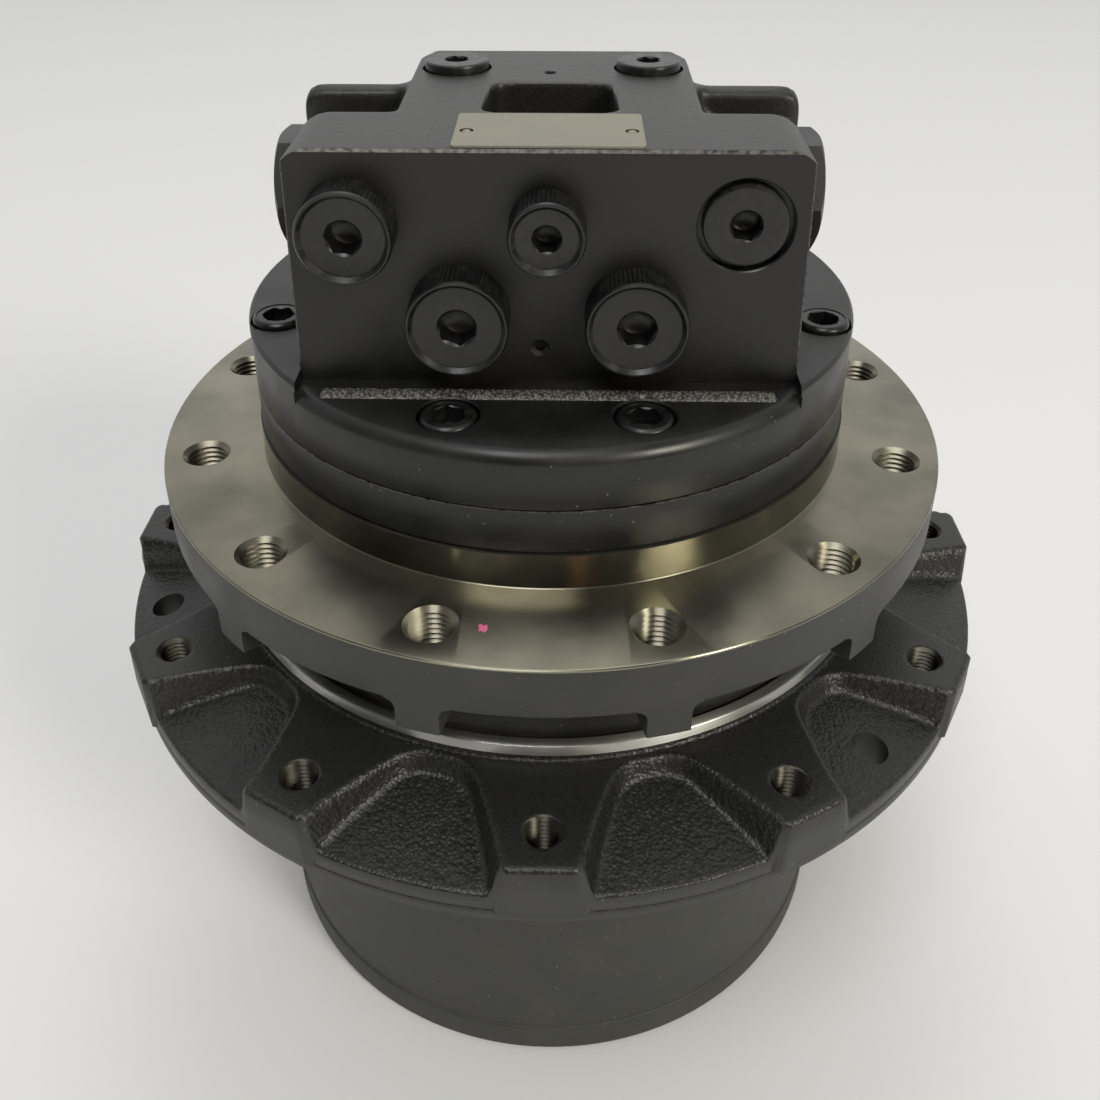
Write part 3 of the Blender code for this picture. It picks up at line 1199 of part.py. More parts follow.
def spool_caps():
    for side, name in ((-1, "spool_cap_left"), (1, "spool_cap_right")):
        cap = bmesh.new()
        face = BLOCK_HALF + GAP
        place = along((side, 0, 0), (side * face, SPOOL_Y, SPOOL_Z))
        crown = CAP_HEX / 2 - GAP
        corner = CAP_HEX / math.sqrt(3)
        head = [(0, 0), (corner, 0), (corner, CAP_HEAD_L - CAP_CHAMFER), (crown, CAP_HEAD_L), (0, CAP_HEAD_L)]
        revolve(cap, head, PLUG_STEPS, place)
        body = finish(name, cap, "black_paint")
        hexes = bmesh.new()
        outline = hexagon(CAP_HEX)
        prism(hexes, outline, -CAP_HEAD_L, 2 * CAP_HEAD_L, place)
        boolean(body, hexes, "INTERSECT", name + "_hex")
        stem = bmesh.new()
        start = Vector((side * (face - CAP_STEM_L), SPOOL_Y, SPOOL_Z))
        cylinder(stem, CAP_STEM_R, start, (side, 0, 0), CAP_STEM_L + CAP_HEAD_L / 2)
        boolean(body, stem, "UNION", name + "_stem")


def socket_plug(name, radius, place, head, finish_name, hex_flats, hex_depth, dish):
    """Round plug: stem below the seat, chamfered head above it, hexagon socket in its dished face."""
    stem = radius * PLUG_STEM_SHARE
    mesh_data = bmesh.new()
    profile = [
        (0, -PLUG_STEM_L), (stem, -PLUG_STEM_L), (stem, 0), (radius, 0),
        (radius, head - PLUG_CHAMFER), (radius - PLUG_CHAMFER, head),
    ]
    profile += [(radius - PLUG_DISH_W, head - dish), (0, head - dish)] if dish else [(0, head)]
    revolve(mesh_data, profile, PLUG_STEPS, place)
    body = finish(name, mesh_data, finish_name)
    socket = bmesh.new()
    prism(socket, hexagon(hex_flats), head - hex_depth, head + hex_depth, place)
    boolean(body, socket, "DIFFERENCE", name + "_socket")


def plugs():
    for name, radius, x, z, proud, spot_r in plug_table():
        seat = -BLOCK_FRONT_Y - GAP if proud else -BLOCK_FRONT_Y + FLAT_SPOT_D
        head = proud if proud else FLAT_SPOT_D
        place = along((0, -1, 0), (x, seat, z))
        dish = PLUG_DISH_D if proud else 0
        flats = radius * PLUG_HEX_SHARE
        socket_plug(name, radius, place, head, "screw_black", flats, PLUG_HEX_D, dish)
    for side, name in ((-1, "top_plug_left"), (1, "top_plug_right")):
        place = Matrix.Translation((side * TOP_PLUG_X, TOP_PLUG_Y, BLOCK_HIGH_Z - TOP_PLUG_SINK))
        head = TOP_PLUG_PROUD + TOP_PLUG_SINK
        flats = TOP_PLUG_R * PLUG_HEX_SHARE
        socket_plug(name, TOP_PLUG_R, place, head, "screw_black", flats, PLUG_HEX_D, 0)


def flange_screws():
    for i, (x, y) in enumerate(screw_spots()):
        top = surface_height(y) + SCREW_PROUD
        under = top - SCREW_HEAD_H
        profile = [
            (0, SCREW_END_Z), (SCREW_SHANK_R, SCREW_END_Z), (SCREW_SHANK_R, under), (SCREW_HEAD_R, under),
            (SCREW_HEAD_R, top - PLUG_CHAMFER), (SCREW_HEAD_R - PLUG_CHAMFER, top), (0, top),
        ]
        name = "flange_screw_%d" % (i + 1)
        body = turned(name, profile, "screw_black", HOLE_STEPS, (x, y, 0))
        socket = bmesh.new()
        place = Matrix.Translation((x, y, 0))
        prism(socket, hexagon(SCREW_HEX), top - SCREW_HEX_D, top + SCREW_HEX_D, place)
        boolean(body, socket, "DIFFERENCE", name + "_socket")


def main():
    clear_scene()
    spindle()
    bearing("low_bearing", LOW_RACE_Z)
    bearing("high_bearing", HIGH_RACE_Z)
    seal_ring("seal_ring_rotating", SEAL_FACE_Z - GAP - SEAL_RING_H, SEAL_FACE_Z)
    seal_ring("seal_ring_fixed", SEAL_FACE_Z + GAP, SEAL_FACE_Z + GAP + SEAL_RING_H)
    housing()
    cover()
    stage_one()
    stage_two()
    shaft()
    swash_plate()
    slipper_ring()
    pistons()
    cylinder_block()
    valve_plate()
    brake()
    motor_ring()
    rear_flange()
    spool()
    spool_caps()
    plugs()
    flange_screws()


main()
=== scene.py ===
# %% [markdown]
# # An excavator final drive
#
# The drive that turns one track of an excavator: a hydraulic motor with its valve block on top,
# a machined flange that bolts to the track frame, and a cast hub with lobes that carries the
# sprocket. The gears and races sit out of sight inside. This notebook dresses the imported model:
# it loads the solids, makes each finish as nodes, and rebuilds the pieces that the eye meets
# with finer edges, cast skin and threads.

import json
import math

import bmesh
import bpy
from mathutils import Matrix, Vector, noise


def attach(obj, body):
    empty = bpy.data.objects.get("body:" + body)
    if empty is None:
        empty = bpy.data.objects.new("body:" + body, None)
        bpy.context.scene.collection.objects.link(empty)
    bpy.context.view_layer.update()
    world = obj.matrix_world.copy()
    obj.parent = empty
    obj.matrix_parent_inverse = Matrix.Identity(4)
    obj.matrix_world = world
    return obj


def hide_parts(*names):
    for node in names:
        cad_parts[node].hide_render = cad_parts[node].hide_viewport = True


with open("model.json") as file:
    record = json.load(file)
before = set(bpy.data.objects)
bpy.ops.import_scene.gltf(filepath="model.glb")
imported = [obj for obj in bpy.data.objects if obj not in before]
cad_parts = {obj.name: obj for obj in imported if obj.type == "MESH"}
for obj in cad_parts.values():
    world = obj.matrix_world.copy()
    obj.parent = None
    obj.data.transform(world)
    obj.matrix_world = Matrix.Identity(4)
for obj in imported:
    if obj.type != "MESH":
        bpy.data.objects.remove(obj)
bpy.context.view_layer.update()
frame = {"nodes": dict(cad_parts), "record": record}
MM = 0.001

# %% [markdown]
# ## The camera
#
# The circles of the flanges in the photograph fix the camera: it stands 450 mm from the middle
# of the frame flange, about 31 degrees up, behind a lens of 38 mm. The photograph was cropped,
# so its optical axis is above the middle of the frame, which a small vertical shift repeats.

# %% Camera
FLANGE_TOP = 226.5
CAMERA_DISTANCE = 450.2
CAMERA_ELEVATION = 30.6
CAMERA_AZIMUTH = 1.0
FOCAL_PIXELS = 1156
IMAGE_PIXELS = 1100
SENSOR_WIDTH = 36
SHIFT = (-0.0012, -0.128)


def new_object(name, data):
    made = bpy.data.objects.new(name, data)
    bpy.context.scene.collection.objects.link(made)
    return made


def stand(thing, distance, azimuth, elevation):
    """Stand a thing off the middle of the flange's top, facing it; azimuth 0 is the front."""
    up = math.radians(elevation)
    side = math.radians(azimuth)
    level = distance * math.cos(up)
    thing.location = Vector((level * math.sin(side), -level * math.cos(side),
                             FLANGE_TOP + distance * math.sin(up))) * MM
    look = Vector((0, 0, FLANGE_TOP * MM)) - thing.location
    thing.rotation_euler = look.to_track_quat("-Z", "Y").to_euler()


lens = bpy.data.cameras.new("camera")
lens.sensor_width = SENSOR_WIDTH
lens.lens = FOCAL_PIXELS * SENSOR_WIDTH / IMAGE_PIXELS
lens.shift_x, lens.shift_y = SHIFT
camera = new_object("camera", lens)
stand(camera, CAMERA_DISTANCE, CAMERA_AZIMUTH, CAMERA_ELEVATION)
bpy.context.scene.camera = camera
bpy.context.scene.view_settings.view_transform = "Standard"
print("lens %.1f mm" % lens.lens)

# %% [markdown]
# ## Sky, lamps and floor
#
# A pale floor and a sky of nearly the same grey stand for the photograph's plain ground. The
# camera sees the sky at its full value. What it lights is a studio whose bright side is a pale
# wall at the back: from there the light falls off evenly to a dim front, as the dark face of the
# block and the two bright sides of the steel say.

# %% Colours and nodes
def paint(code, alpha=1.0):
    """Turn an sRGB hex colour into the linear values that a shader takes."""
    channels = []
    for start in (0, 2, 4):
        value = int(code[start:start + 2], 16) / 255
        if value <= 0.04045:
            channels.append(value / 12.92)
        else:
            channels.append(((value + 0.055) / 1.055) ** 2.4)
    return (*channels, alpha)


def add(tree, kind, sockets=None, **settings):
    """Add one node: settings are its properties, sockets are values or the outputs they take."""
    made = tree.nodes.new("ShaderNode" + kind)
    for name, value in settings.items():
        setattr(made, name, value)
    for name, value in (sockets or {}).items():
        if isinstance(value, bpy.types.NodeSocket):
            tree.links.new(value, made.inputs[name])
        else:
            made.inputs[name].default_value = value
    return made


print("node tools ready")

# %% Sky
GROUND_GREY = "E0E0E0"
BRIGHT_SIDE = (0.05, 0.88, 0.47)
DIM_FACING, BRIGHT_FACING = -0.3, 0.95
DIM_SHARE, BRIGHT_SHARE = 0.07, 1.2

sky = bpy.data.worlds.new("studio")
bpy.context.scene.world = sky
sky.use_nodes = True
tree = sky.node_tree
tree.nodes.clear()
path = add(tree, "LightPath")
direction = add(tree, "TexCoord").outputs["Generated"]
toward = add(tree, "VectorMath", {0: direction, 1: BRIGHT_SIDE}, operation="DOT_PRODUCT")
studio = add(tree, "MapRange", {
    "Value": toward.outputs["Value"], "From Min": DIM_FACING, "From Max": BRIGHT_FACING,
    "To Min": DIM_SHARE, "To Max": BRIGHT_SHARE})
level = add(tree, "MapRange", {"Value": path.outputs["Is Camera Ray"],
                               "To Min": studio.outputs[0], "To Max": 1.0})
light = add(tree, "Background", {"Color": paint(GROUND_GREY), "Strength": level.outputs[0]})
add(tree, "OutputWorld", {"Surface": light.outputs[0]})
print("sky:", len(tree.nodes), "nodes")

# %% [markdown]
# A corner of two bright faces sends light back at the height it came from. So the window at the
# front right and the small warm lamp stand at the camera's own height, where the pilot ring and
# the flange show them to each other as bright patches. Two large soft lamps fill the shadows.

# %% Lamps and floor
LAMP_DISTANCE = 5000
# Name, diameter in mm, watts, azimuth, elevation and colour.
LAMPS = (
    ("window_lamp", 1500, 110, 45, CAMERA_ELEVATION, "FFFCEC"),
    ("warm_lamp", 400, 6, 11, CAMERA_ELEVATION, "E8B088"),
    ("front_lamp", 2600, 90, -15, 60, "FFFFFF"),
    ("back_lamp", 2600, 30, 180, 60, "FFFFFF"),
)
FLOOR_GREY = "E2E2E2"
FLOOR_SIDE = 12.0

for name, size, watts, azimuth, elevation, colour in LAMPS:
    data = bpy.data.lights.new(name, "AREA")
    data.shape = "DISK"
    data.size = size * MM
    data.energy = watts
    data.color = paint(colour)[:3]
    stand(new_object(name, data), LAMP_DISTANCE, azimuth, elevation)

floor_finish = bpy.data.materials.new("pale_floor")
floor_finish.use_nodes = True
shader = floor_finish.node_tree.nodes["Principled BSDF"]
shader.inputs["Base Color"].default_value = paint(FLOOR_GREY)
shader.inputs["Roughness"].default_value = 0.9
shader.inputs["Specular IOR Level"].default_value = 0.1
bpy.ops.mesh.primitive_plane_add(size=FLOOR_SIDE)
floor = bpy.context.object
floor.name = "studio_floor"
floor.data.materials.append(floor_finish)
print("lamps:", len(LAMPS))

# %% [markdown]
# ## Finishes
#
# Every finish starts from what the metal is and how its surface was made. Three patterns do most
# of the work: cloudy noise for oil and uneven paint, grains for cast skin, and fine rings around
# the axis for turned metal. Each scale comes from a size on the real surface.

# %% Shared patterns
def new_finish(name, roughness, metallic=0.0):
    """A material with a Principled shader, its tree and the object's own coordinates."""
    made = bpy.data.materials.new(name)
    made.use_nodes = True
    tree = made.node_tree
    shader = tree.nodes["Principled BSDF"]
    shader.inputs["Roughness"].default_value = roughness
    shader.inputs["Metallic"].default_value = metallic
    place = add(tree, "TexCoord").outputs["Object"]
    return made, tree, shader, place


def cloud(tree, place, size_mm, detail=3.0):
    """Soft noise whose patches are about a size across."""
    return add(tree, "TexNoise", {"Vector": place, "Scale": 1 / (size_mm * MM), "Detail": detail})


def blend_colours(tree, factor, first, second, low=0.35, high=0.65):
    """Go from one colour to another as a pattern rises from low to high."""
    share = add(tree, "MapRange", {"Value": factor, "From Min": low, "From Max": high})
    mixed = add(tree, "Mix", {0: share.outputs[0], 6: first, 7: second}, data_type="RGBA")
    return mixed.outputs[2]


def span(tree, factor, low, high, start=0.3, end=0.7):
    """Map a pattern onto a range of a number, such as roughness."""
    made = add(tree, "MapRange", {"Value": factor, "From Min": start, "From Max": end,
                                  "To Min": low, "To Max": high})
    return made.outputs[0]


def rings(tree, place, pitch_mm):
    """Uneven fine rings around the axis, as a turning tool leaves them."""
    split = add(tree, "SeparateXYZ", {0: place})
    flat = add(tree, "CombineXYZ", {"X": split.outputs["X"], "Y": split.outputs["Y"]})
    radius = add(tree, "VectorMath", {0: flat.outputs[0]}, operation="LENGTH")
    where = add(tree, "Math", {0: radius.outputs["Value"], 1: split.outputs["Z"]}, operation="ADD")
    return add(tree, "TexNoise", {"W": where.outputs[0], "Scale": 1 / (pitch_mm * MM),
                                  "Detail": 2.0}, noise_dimensions="1D")


def dress(tree, shader, colour, height, depth_mm, roughness=None):
    """Link a colour, a pattern that raises the surface and, where it varies, a roughness."""
    bump = add(tree, "Bump", {"Height": height, "Distance": depth_mm * MM, "Strength": 1.0})
    tree.links.new(colour, shader.inputs["Base Color"])
    tree.links.new(bump.outputs[0], shader.inputs["Normal"])
    if roughness:
        tree.links.new(roughness, shader.inputs["Roughness"])


SPECK_MM = 1.6
SPECK_EDGE = 0.03


def dusted(tree, place, colour, dust, share):
    """Sparse pale specks over a colour."""
    speck = cloud(tree, place, SPECK_MM, 1.0)
    return blend_colours(tree, speck.outputs["Fac"], colour, dust, 1 - share,
                         1 - share + SPECK_EDGE)


print("patterns ready")

# %% [markdown]
# ### Black enamel on machined iron
#
# The valve block's machined faces are cast iron under one coat of satin enamel.
# The paint hides the metal but not its flatness: the gloss is even, with a faint orange peel
# about 1 mm across, clouds where it is thinner, and a few specks of dust.

# %% Black enamel
black_enamel, tree, shader, place = new_finish("black_enamel_on_iron", 0.42)
clouds = cloud(tree, place, 26, 4)
colour = blend_colours(tree, clouds.outputs["Fac"], paint("111111"), paint("1B1B1A"))
colour = dusted(tree, place, colour, paint("32312F"), 0.2)
peel = cloud(tree, place, 1.1, 2)
dress(tree, shader, colour, peel.outputs["Fac"], 0.05,
      span(tree, clouds.outputs["Fac"], 0.36, 0.50))
print("enamel:", len(tree.nodes), "nodes")

# %% [markdown]
# ### Cast skin under black paint
#
# The lobed flange and the foot of the valve block keep the skin of their sand mould: round
# pebbles of about 1.2 mm, as cells, broken up by finer grains and by patches four times as
# wide, under thin black paint that shines on every grain. Light and shade are painted into the
# colour: the pebbles' raised middles are painted lighter and the gaps between them darker.

# %% Cast skin
GRAIN_MM = 1.2


def shaded_cast_skin(name, dark, light, depth_mm, roughness, grain_mm=GRAIN_MM):
    made, tree, shader, place = new_finish(name, roughness)
    wobble = cloud(tree, place, 2 * grain_mm, 2)
    bent = add(tree, "VectorMath", {0: wobble.outputs["Color"], 1: (grain_mm * MM,) * 3, 2: place},
               operation="MULTIPLY_ADD")
    pebble = add(tree, "TexVoronoi", {"Vector": bent.outputs[0], "Scale": 1 / (grain_mm * MM),
                                      "Smoothness": 0.4}, feature="SMOOTH_F1")
    patch = cloud(tree, place, 4 * grain_mm, 4)
    height = add(tree, "Math", {0: pebble.outputs["Distance"], 1: -0.55,
                                2: patch.outputs["Fac"]}, operation="MULTIPLY_ADD")
    # Painted light and shade: the raised middles of the pebbles get the light colour and the gaps
    # between them get the dark one, following the bump.
    colour = blend_colours(tree, pebble.outputs["Distance"], paint(light), paint(dark), 0.15, 0.6)
    colour = dusted(tree, place, colour, paint("66635C"), 0.2)
    dress(tree, shader, colour, height.outputs[0], depth_mm)
    return made


rough_casting = shaded_cast_skin("rough_cast_iron_black", "191918", "2B2B29", 0.38, 0.38)
soft_casting = shaded_cast_skin("shot_blasted_iron_black", "1C1C1B", "272725", 0.12, 0.42, 1.0)
# Painted highlight: the torn strip's grain tops are painted pale grey (77766F), so it shows as a
# bright ragged line.
torn_casting_painted_highlight = shaded_cast_skin("torn_cast_edge_painted_highlight", "343432", "77766F", 0.5, 0.34, 1.0)
print("cast skin with grains of", GRAIN_MM, "mm")

# %% [markdown]
# ### Turned steel
#
# The frame flange and the hub's lip are bare steel from the lathe. It is metallic, so its colour
# is its reflection; an oil film makes it warm and a little green. The tool leaves rings about
# 0.2 mm apart, drawn here at 0.5 mm so that they show, which stretch each highlight outwards.

# %% Turned steel
def turned_steel(name, dark, light, low, high, ring_mm=0.5, depth_mm=0.010):
    made, tree, shader, place = new_finish(name, low, 1.0)
    oil = cloud(tree, place, 34, 4)
    groove = rings(tree, place, ring_mm)
    colour = blend_colours(tree, oil.outputs["Fac"], paint(dark), paint(light), 0.3, 0.7)
    around_axis = add(tree, "Tangent", direction_type="RADIAL", axis="Z")
    tree.links.new(around_axis.outputs[0], shader.inputs["Tangent"])
    shader.inputs["Anisotropic"].default_value = 0.8
    shader.inputs["Anisotropic Rotation"].default_value = 0.25
    dress(tree, shader, colour, groove.outputs["Fac"], depth_mm,
          span(tree, oil.outputs["Fac"], low, high))
    return made


flange_steel = turned_steel("turned_steel_oiled", "706D61", "959180", 0.17, 0.25)
lip_steel = turned_steel("turned_steel_bright", "BDBDB8", "D8D8D2", 0.30, 0.40)
thread_steel = turned_steel("thread_steel", "6B675A", "94907F", 0.28, 0.40)
dark_thread = turned_steel("thread_iron_dark", "3A3833", "5A574E", 0.35, 0.48)
print("turned steel ready")

# %% [markdown]
# ### Dark paint on turned and cast faces
#
# The rim under the frame flange and the gearbox case are painted dark grey, duller than the
# block. Fine rings from the lathe show through on the rim, and the case looks cloudy and worn.
# The motor ring and the round rear flange have the same paint in black.

# %% Dark paints
def dull_paint(name, dark, light, low, high, ring_mm, depth_mm):
    made, tree, shader, place = new_finish(name, low)
    clouds = cloud(tree, place, 18, 5)
    colour = blend_colours(tree, clouds.outputs["Fac"], paint(dark), paint(light), 0.3, 0.7)
    colour = dusted(tree, place, colour, paint("6C6A63"), 0.24)
    groove = rings(tree, place, ring_mm)
    peel = cloud(tree, place, 0.9, 2)
    height = add(tree, "Math", {0: groove.outputs["Fac"], 1: peel.outputs["Fac"]}, operation="ADD")
    dress(tree, shader, colour, height.outputs[0], depth_mm,
          span(tree, clouds.outputs["Fac"], low, high))
    return made


rim_paint = dull_paint("dark_paint_on_turned_rim", "282926", "363633", 0.42, 0.56, 0.6, 0.02)
case_paint = dull_paint("olive_grey_case_paint", "2E2F2B", "3F3F3A", 0.48, 0.62, 1.2, 0.04)
ring_paint = dull_paint("black_paint_on_turned_ring", "111211", "1D1E1D", 0.30, 0.46, 0.5, 0.012)
print("dark paints ready")

# %% [markdown]
# ### Screws, plate and inner steel
#
# Screws and plugs are blackened steel, glossy and slightly blue; the blank plate is pale
# anodised aluminium. The gears, races, pistons and bushes inside keep the solids' shapes and
# get ground steel, polished steel, bronze and lining.

# %% Small finishes
black_oxide, tree, shader, place = new_finish("blackened_steel", 0.32)
wear = cloud(tree, place, 3, 3)
colour = blend_colours(tree, wear.outputs["Fac"], paint("121213"), paint("262624"), 0.45, 0.85)
dress(tree, shader, colour, cloud(tree, place, 0.6, 2).outputs["Fac"], 0.015,
      span(tree, wear.outputs["Fac"], 0.26, 0.40))


def plain_metal(name, dark, light, roughness, patch_mm=6):
    made, tree, shader, place = new_finish(name, roughness, 1.0)
    cloudy = cloud(tree, place, patch_mm, 3)
    colour = blend_colours(tree, cloudy.outputs["Fac"], paint(dark), paint(light))
    dress(tree, shader, colour, cloud(tree, place, 0.5, 2).outputs["Fac"], 0.008,
          span(tree, cloudy.outputs["Fac"], roughness * 0.8, roughness * 1.2))
    return made


rubbed_edge = plain_metal("paint_rubbed_to_metal", "33322F", "6A6862", 0.42, 2)
plate_metal = plain_metal("anodised_aluminium_plate", "8F8B7D", "9B9788", 0.55, 12)
inner_finishes = {
    "gear_steel": plain_metal("ground_gear_steel", "8E8F92", "A6A7A9", 0.32),
    "bearing_steel": plain_metal("polished_bearing_steel", "B4B5B7", "CBCCCD", 0.16),
    "bronze": plain_metal("machined_bronze", "A9793F", "C4955A", 0.34),
    "friction_lining": shaded_cast_skin("bonded_friction_lining", "5A4A38", "6E5B45", 0.08, 0.85, 0.8),
}
slot_of = {row["node"]: row["material_slot"] for row in frame["record"]["subparts"]}
for node_name, node_object in frame["nodes"].items():
    finish = inner_finishes.get(slot_of[node_name])
    if finish:
        node_object.data.materials.clear()
        node_object.data.materials.append(finish)
print("finishes:", len(bpy.data.materials))

# %% [markdown]
# ## Tools for round and straight solids
#
# Nearly every piece is a profile spun about the axis or an outline raised between two heights.
# Booleans join the castings and cut the holes, each applied at once so that no helper stays
# behind. A casting is then remeshed into small even cells and smoothed, which rounds its edges
# and fills its inner corners as sand does, before the machined faces are cut flat and sharp.

# %% Solid tools
ROUND = 144
QUARTER = math.radians(90)
SIDE_SHARE = 0.45
THREAD_DEPTH = 0.54


def polar(radius, degrees, height=0.0):
    """Point in millimetres at an angle counted from the front towards the right."""
    turn = math.radians(degrees)
    return Vector((radius * math.sin(turn), -radius * math.cos(turn), height))


def at(x, y, z=0):
    """Place a drawing at a point."""
    return Matrix.Translation((x, y, z))


def revolve(mesh, profile, steps=ROUND, place=Matrix()):
    """Spin a closed profile of (radius, height) about Z; a zero radius closes to a point."""
    loops = []
    for radius, height in profile:
        if radius == 0:
            loops.append([mesh.verts.new(place @ Vector((0, 0, height)))])
        else:
            loops.append([mesh.verts.new(place @ polar(radius, 360 * k / steps, height))
                          for k in range(steps)])
    for loop, after in zip(loops, loops[1:] + loops[:1]):
        if len(loop) == len(after) == 1:
            continue
        for k in range(steps):
            j = (k + 1) % steps
            ring = [loop[k % len(loop)], loop[j % len(loop)]]
            ring += [after[j % len(after)], after[k % len(after)]]
            mesh.faces.new(list(dict.fromkeys(ring)))


def rod(mesh, radius, low, high, steps, place=Matrix()):
    """Plain round rod about Z, as a cutter for holes."""
    revolve(mesh, [(0, low), (radius, low), (radius, high), (0, high)], steps, place)


def skin(mesh, rows, capped=True):
    """Join closed rows of points into one skin; uncapped, the last row meets the first."""
    loops = [[mesh.verts.new(point) for point in row] for row in rows]
    pairs = list(zip(loops, loops[1:]))
    if capped:
        mesh.faces.new(loops[0][::-1])
        mesh.faces.new(loops[-1])
    else:
        pairs.append((loops[-1], loops[0]))
    for loop, after in pairs:
        for k in range(len(loop)):
            j = (k + 1) % len(loop)
            mesh.faces.new([loop[k], loop[j], after[j], after[k]])


def raised(mesh, outline, low, high, place=Matrix()):
    """Straight solid over an outline of (x, y) points."""
    skin(mesh, [[place @ Vector((x, y, z)) for x, y in outline] for z in (low, high)])


def soften(points, size, steps=3):
    """Round the corners of a closed outline, but for those on the axis."""
    out = []
    for k, point in enumerate(points):
        here = Vector(point)
        before = Vector(points[k - 1]) - here
        after = Vector(points[(k + 1) % len(points)]) - here
        reach = min(size, before.length * SIDE_SHARE, after.length * SIDE_SHARE)
        if here.x == 0 or reach == 0:
            out.append(tuple(here))
            continue
        first = here + before.normalized() * reach
        last = here + after.normalized() * reach
        for i in range(steps + 1):
            t = i / steps
            spot = first * (1 - t) ** 2 + here * 2 * t * (1 - t) + last * t ** 2
            out.append(tuple(spot))
    return out


def solid(name, mesh, *finishes):
    """Make an object, in metres, from a bmesh drawn in millimetres."""
    bmesh.ops.recalc_face_normals(mesh, faces=mesh.faces)
    bmesh.ops.scale(mesh, vec=(MM, MM, MM), verts=mesh.verts)
    data = bpy.data.meshes.new(name)
    mesh.to_mesh(data)
    mesh.free()
    for finish in finishes:
        data.materials.append(finish)
    return new_object(name, data)


def bake(thing):
    """Apply an object's modifiers by keeping the mesh that they give."""
    graph = bpy.context.evaluated_depsgraph_get()
    data = bpy.data.meshes.new_from_object(thing.evaluated_get(graph))
    old = thing.data
    thing.modifiers.clear()
    thing.data = data
    data.name = thing.name
    bpy.data.meshes.remove(old)


def work(thing, mesh, operation="DIFFERENCE", finish=None):
    """Cut, join or trim with a helper solid, which is then removed."""
    helper = solid("helper", mesh, *([finish] if finish else []))
    change = thing.modifiers.new("work", "BOOLEAN")
    change.object = helper
    change.operation = operation
    change.solver = "EXACT"
    change.material_mode = "TRANSFER"
    bake(thing)
    bpy.data.objects.remove(helper, do_unlink=True)


def drawn(draw, *values):
    """A new mesh that holds one drawn solid."""
    mesh = bmesh.new()
    draw(mesh, *values)
    return mesh


def absorb(thing, other, finish=None):
    """Join a whole object into a thing; the other is then removed."""
    mesh = bmesh.new()
    mesh.from_mesh(other.data)
    bmesh.ops.scale(mesh, vec=(1 / MM,) * 3, verts=mesh.verts)
    work(thing, mesh, "UNION", finish)
    bpy.data.objects.remove(other, do_unlink=True)


def cast(thing, cell_mm, passes):
    """Give a joined solid the rounded edges of a casting."""
    grid = thing.modifiers.new("cells", "REMESH")
    grid.mode = "VOXEL"
    grid.voxel_size = cell_mm * MM
    ease = thing.modifiers.new("ease", "SMOOTH")
    ease.iterations = passes
    ease.factor = 0.5
    bake(thing)


def place_piece(thing, body, slot, *nodes, sharp=32):
    """Shade a piece, let it ride on its body and stand for its solids."""
    thing.data.shade_smooth()
    thing.data.set_sharp_from_angle(angle=math.radians(sharp))
    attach(thing, body)
    if nodes:
        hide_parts(*nodes)
    print(thing.name, "faces:", len(thing.data.polygons))


def threaded_hole(mesh, spot, top, depth, major, pitch, mouth=0.6, steps=28):
    """Cutter for a tapped hole: thread grooves as rings, under a countersunk mouth."""
    crest = major - THREAD_DEPTH * pitch
    profile = [(0, top + 1), (major + mouth + 1, top + 1), (major + mouth, top),
               (major, top - mouth)]
    height = top - mouth
    while height - pitch > top - depth:
        profile += [(crest, height - pitch / 2), (major, height - pitch)]
        height -= pitch
    profile += [(crest, height), (crest, top - depth), (0, top - depth)]
    revolve(mesh, profile, steps, at(spot.x, spot.y))


print("tools ready")

# %% [markdown]
# ## The spindle and its frame flange
#
# The fixed spindle shows as a wide flange with twelve tapped holes, a stepped pilot ring on it,
# and feet under its rim. Its round parts are one spun profile with small rounded edges.

# %% Spindle body
FLANGE_R = 145.0
PLATE_LOW = 208.0
PILOT_R = 109.0
PILOT_TOP = 239.5
FORGED_EDGE = 0.8

outside = [
    (74.5, 105), (74.5, 150.2), (90.5, 150.2), (90.5, 176.3), (114.5, 176.3), (114.5, 171),
    (120.5, 171), (120.5, 191), (124, PLATE_LOW), (FLANGE_R, PLATE_LOW),
    (FLANGE_R, FLANGE_TOP), (PILOT_R, FLANGE_TOP), (PILOT_R, PILOT_TOP),
]
inside = [
    (63.5, PILOT_TOP), (63.5, 206), (58, 206), (58, 124), (16.5, 124), (16.5, 105),
]
spindle = solid("frame_spindle", drawn(revolve, soften(outside, FORGED_EDGE) + inside),
                rim_paint, flange_steel, thread_steel)
print("spindle:", len(spindle.data.polygons), "faces")

# %% [markdown]
# Twelve feet stand under the rim, one below each tapped hole. Each is drawn in side view, with
# straight sides that flare in a rounded corner where they meet the rim, then trimmed to the
# rim's circle and joined to the flange.

# %% Feet under the rim
FOOT_LOW = 197.2
FOOT_HALF = 7.0
FOOT_IN_R = 116
RECESS_CORNER = 3.5
CORNER_STEPS = 4
FIRST_HOLE = 15.0
SPAN = 30.0


def foot_outline():
    """Side view of one foot, in width and height, flared where it meets the rim."""
    flare = RECESS_CORNER
    half = [(FOOT_HALF, FOOT_LOW)]
    for k in range(CORNER_STEPS + 1):
        turn = math.radians(90 * k / CORNER_STEPS)
        half.append((FOOT_HALF + flare * (1 - math.cos(turn)),
                     PLATE_LOW - flare + flare * math.sin(turn)))
    half.append((FOOT_HALF + flare, PLATE_LOW + 4))
    return half + [(-x, z) for x, z in reversed(half)]


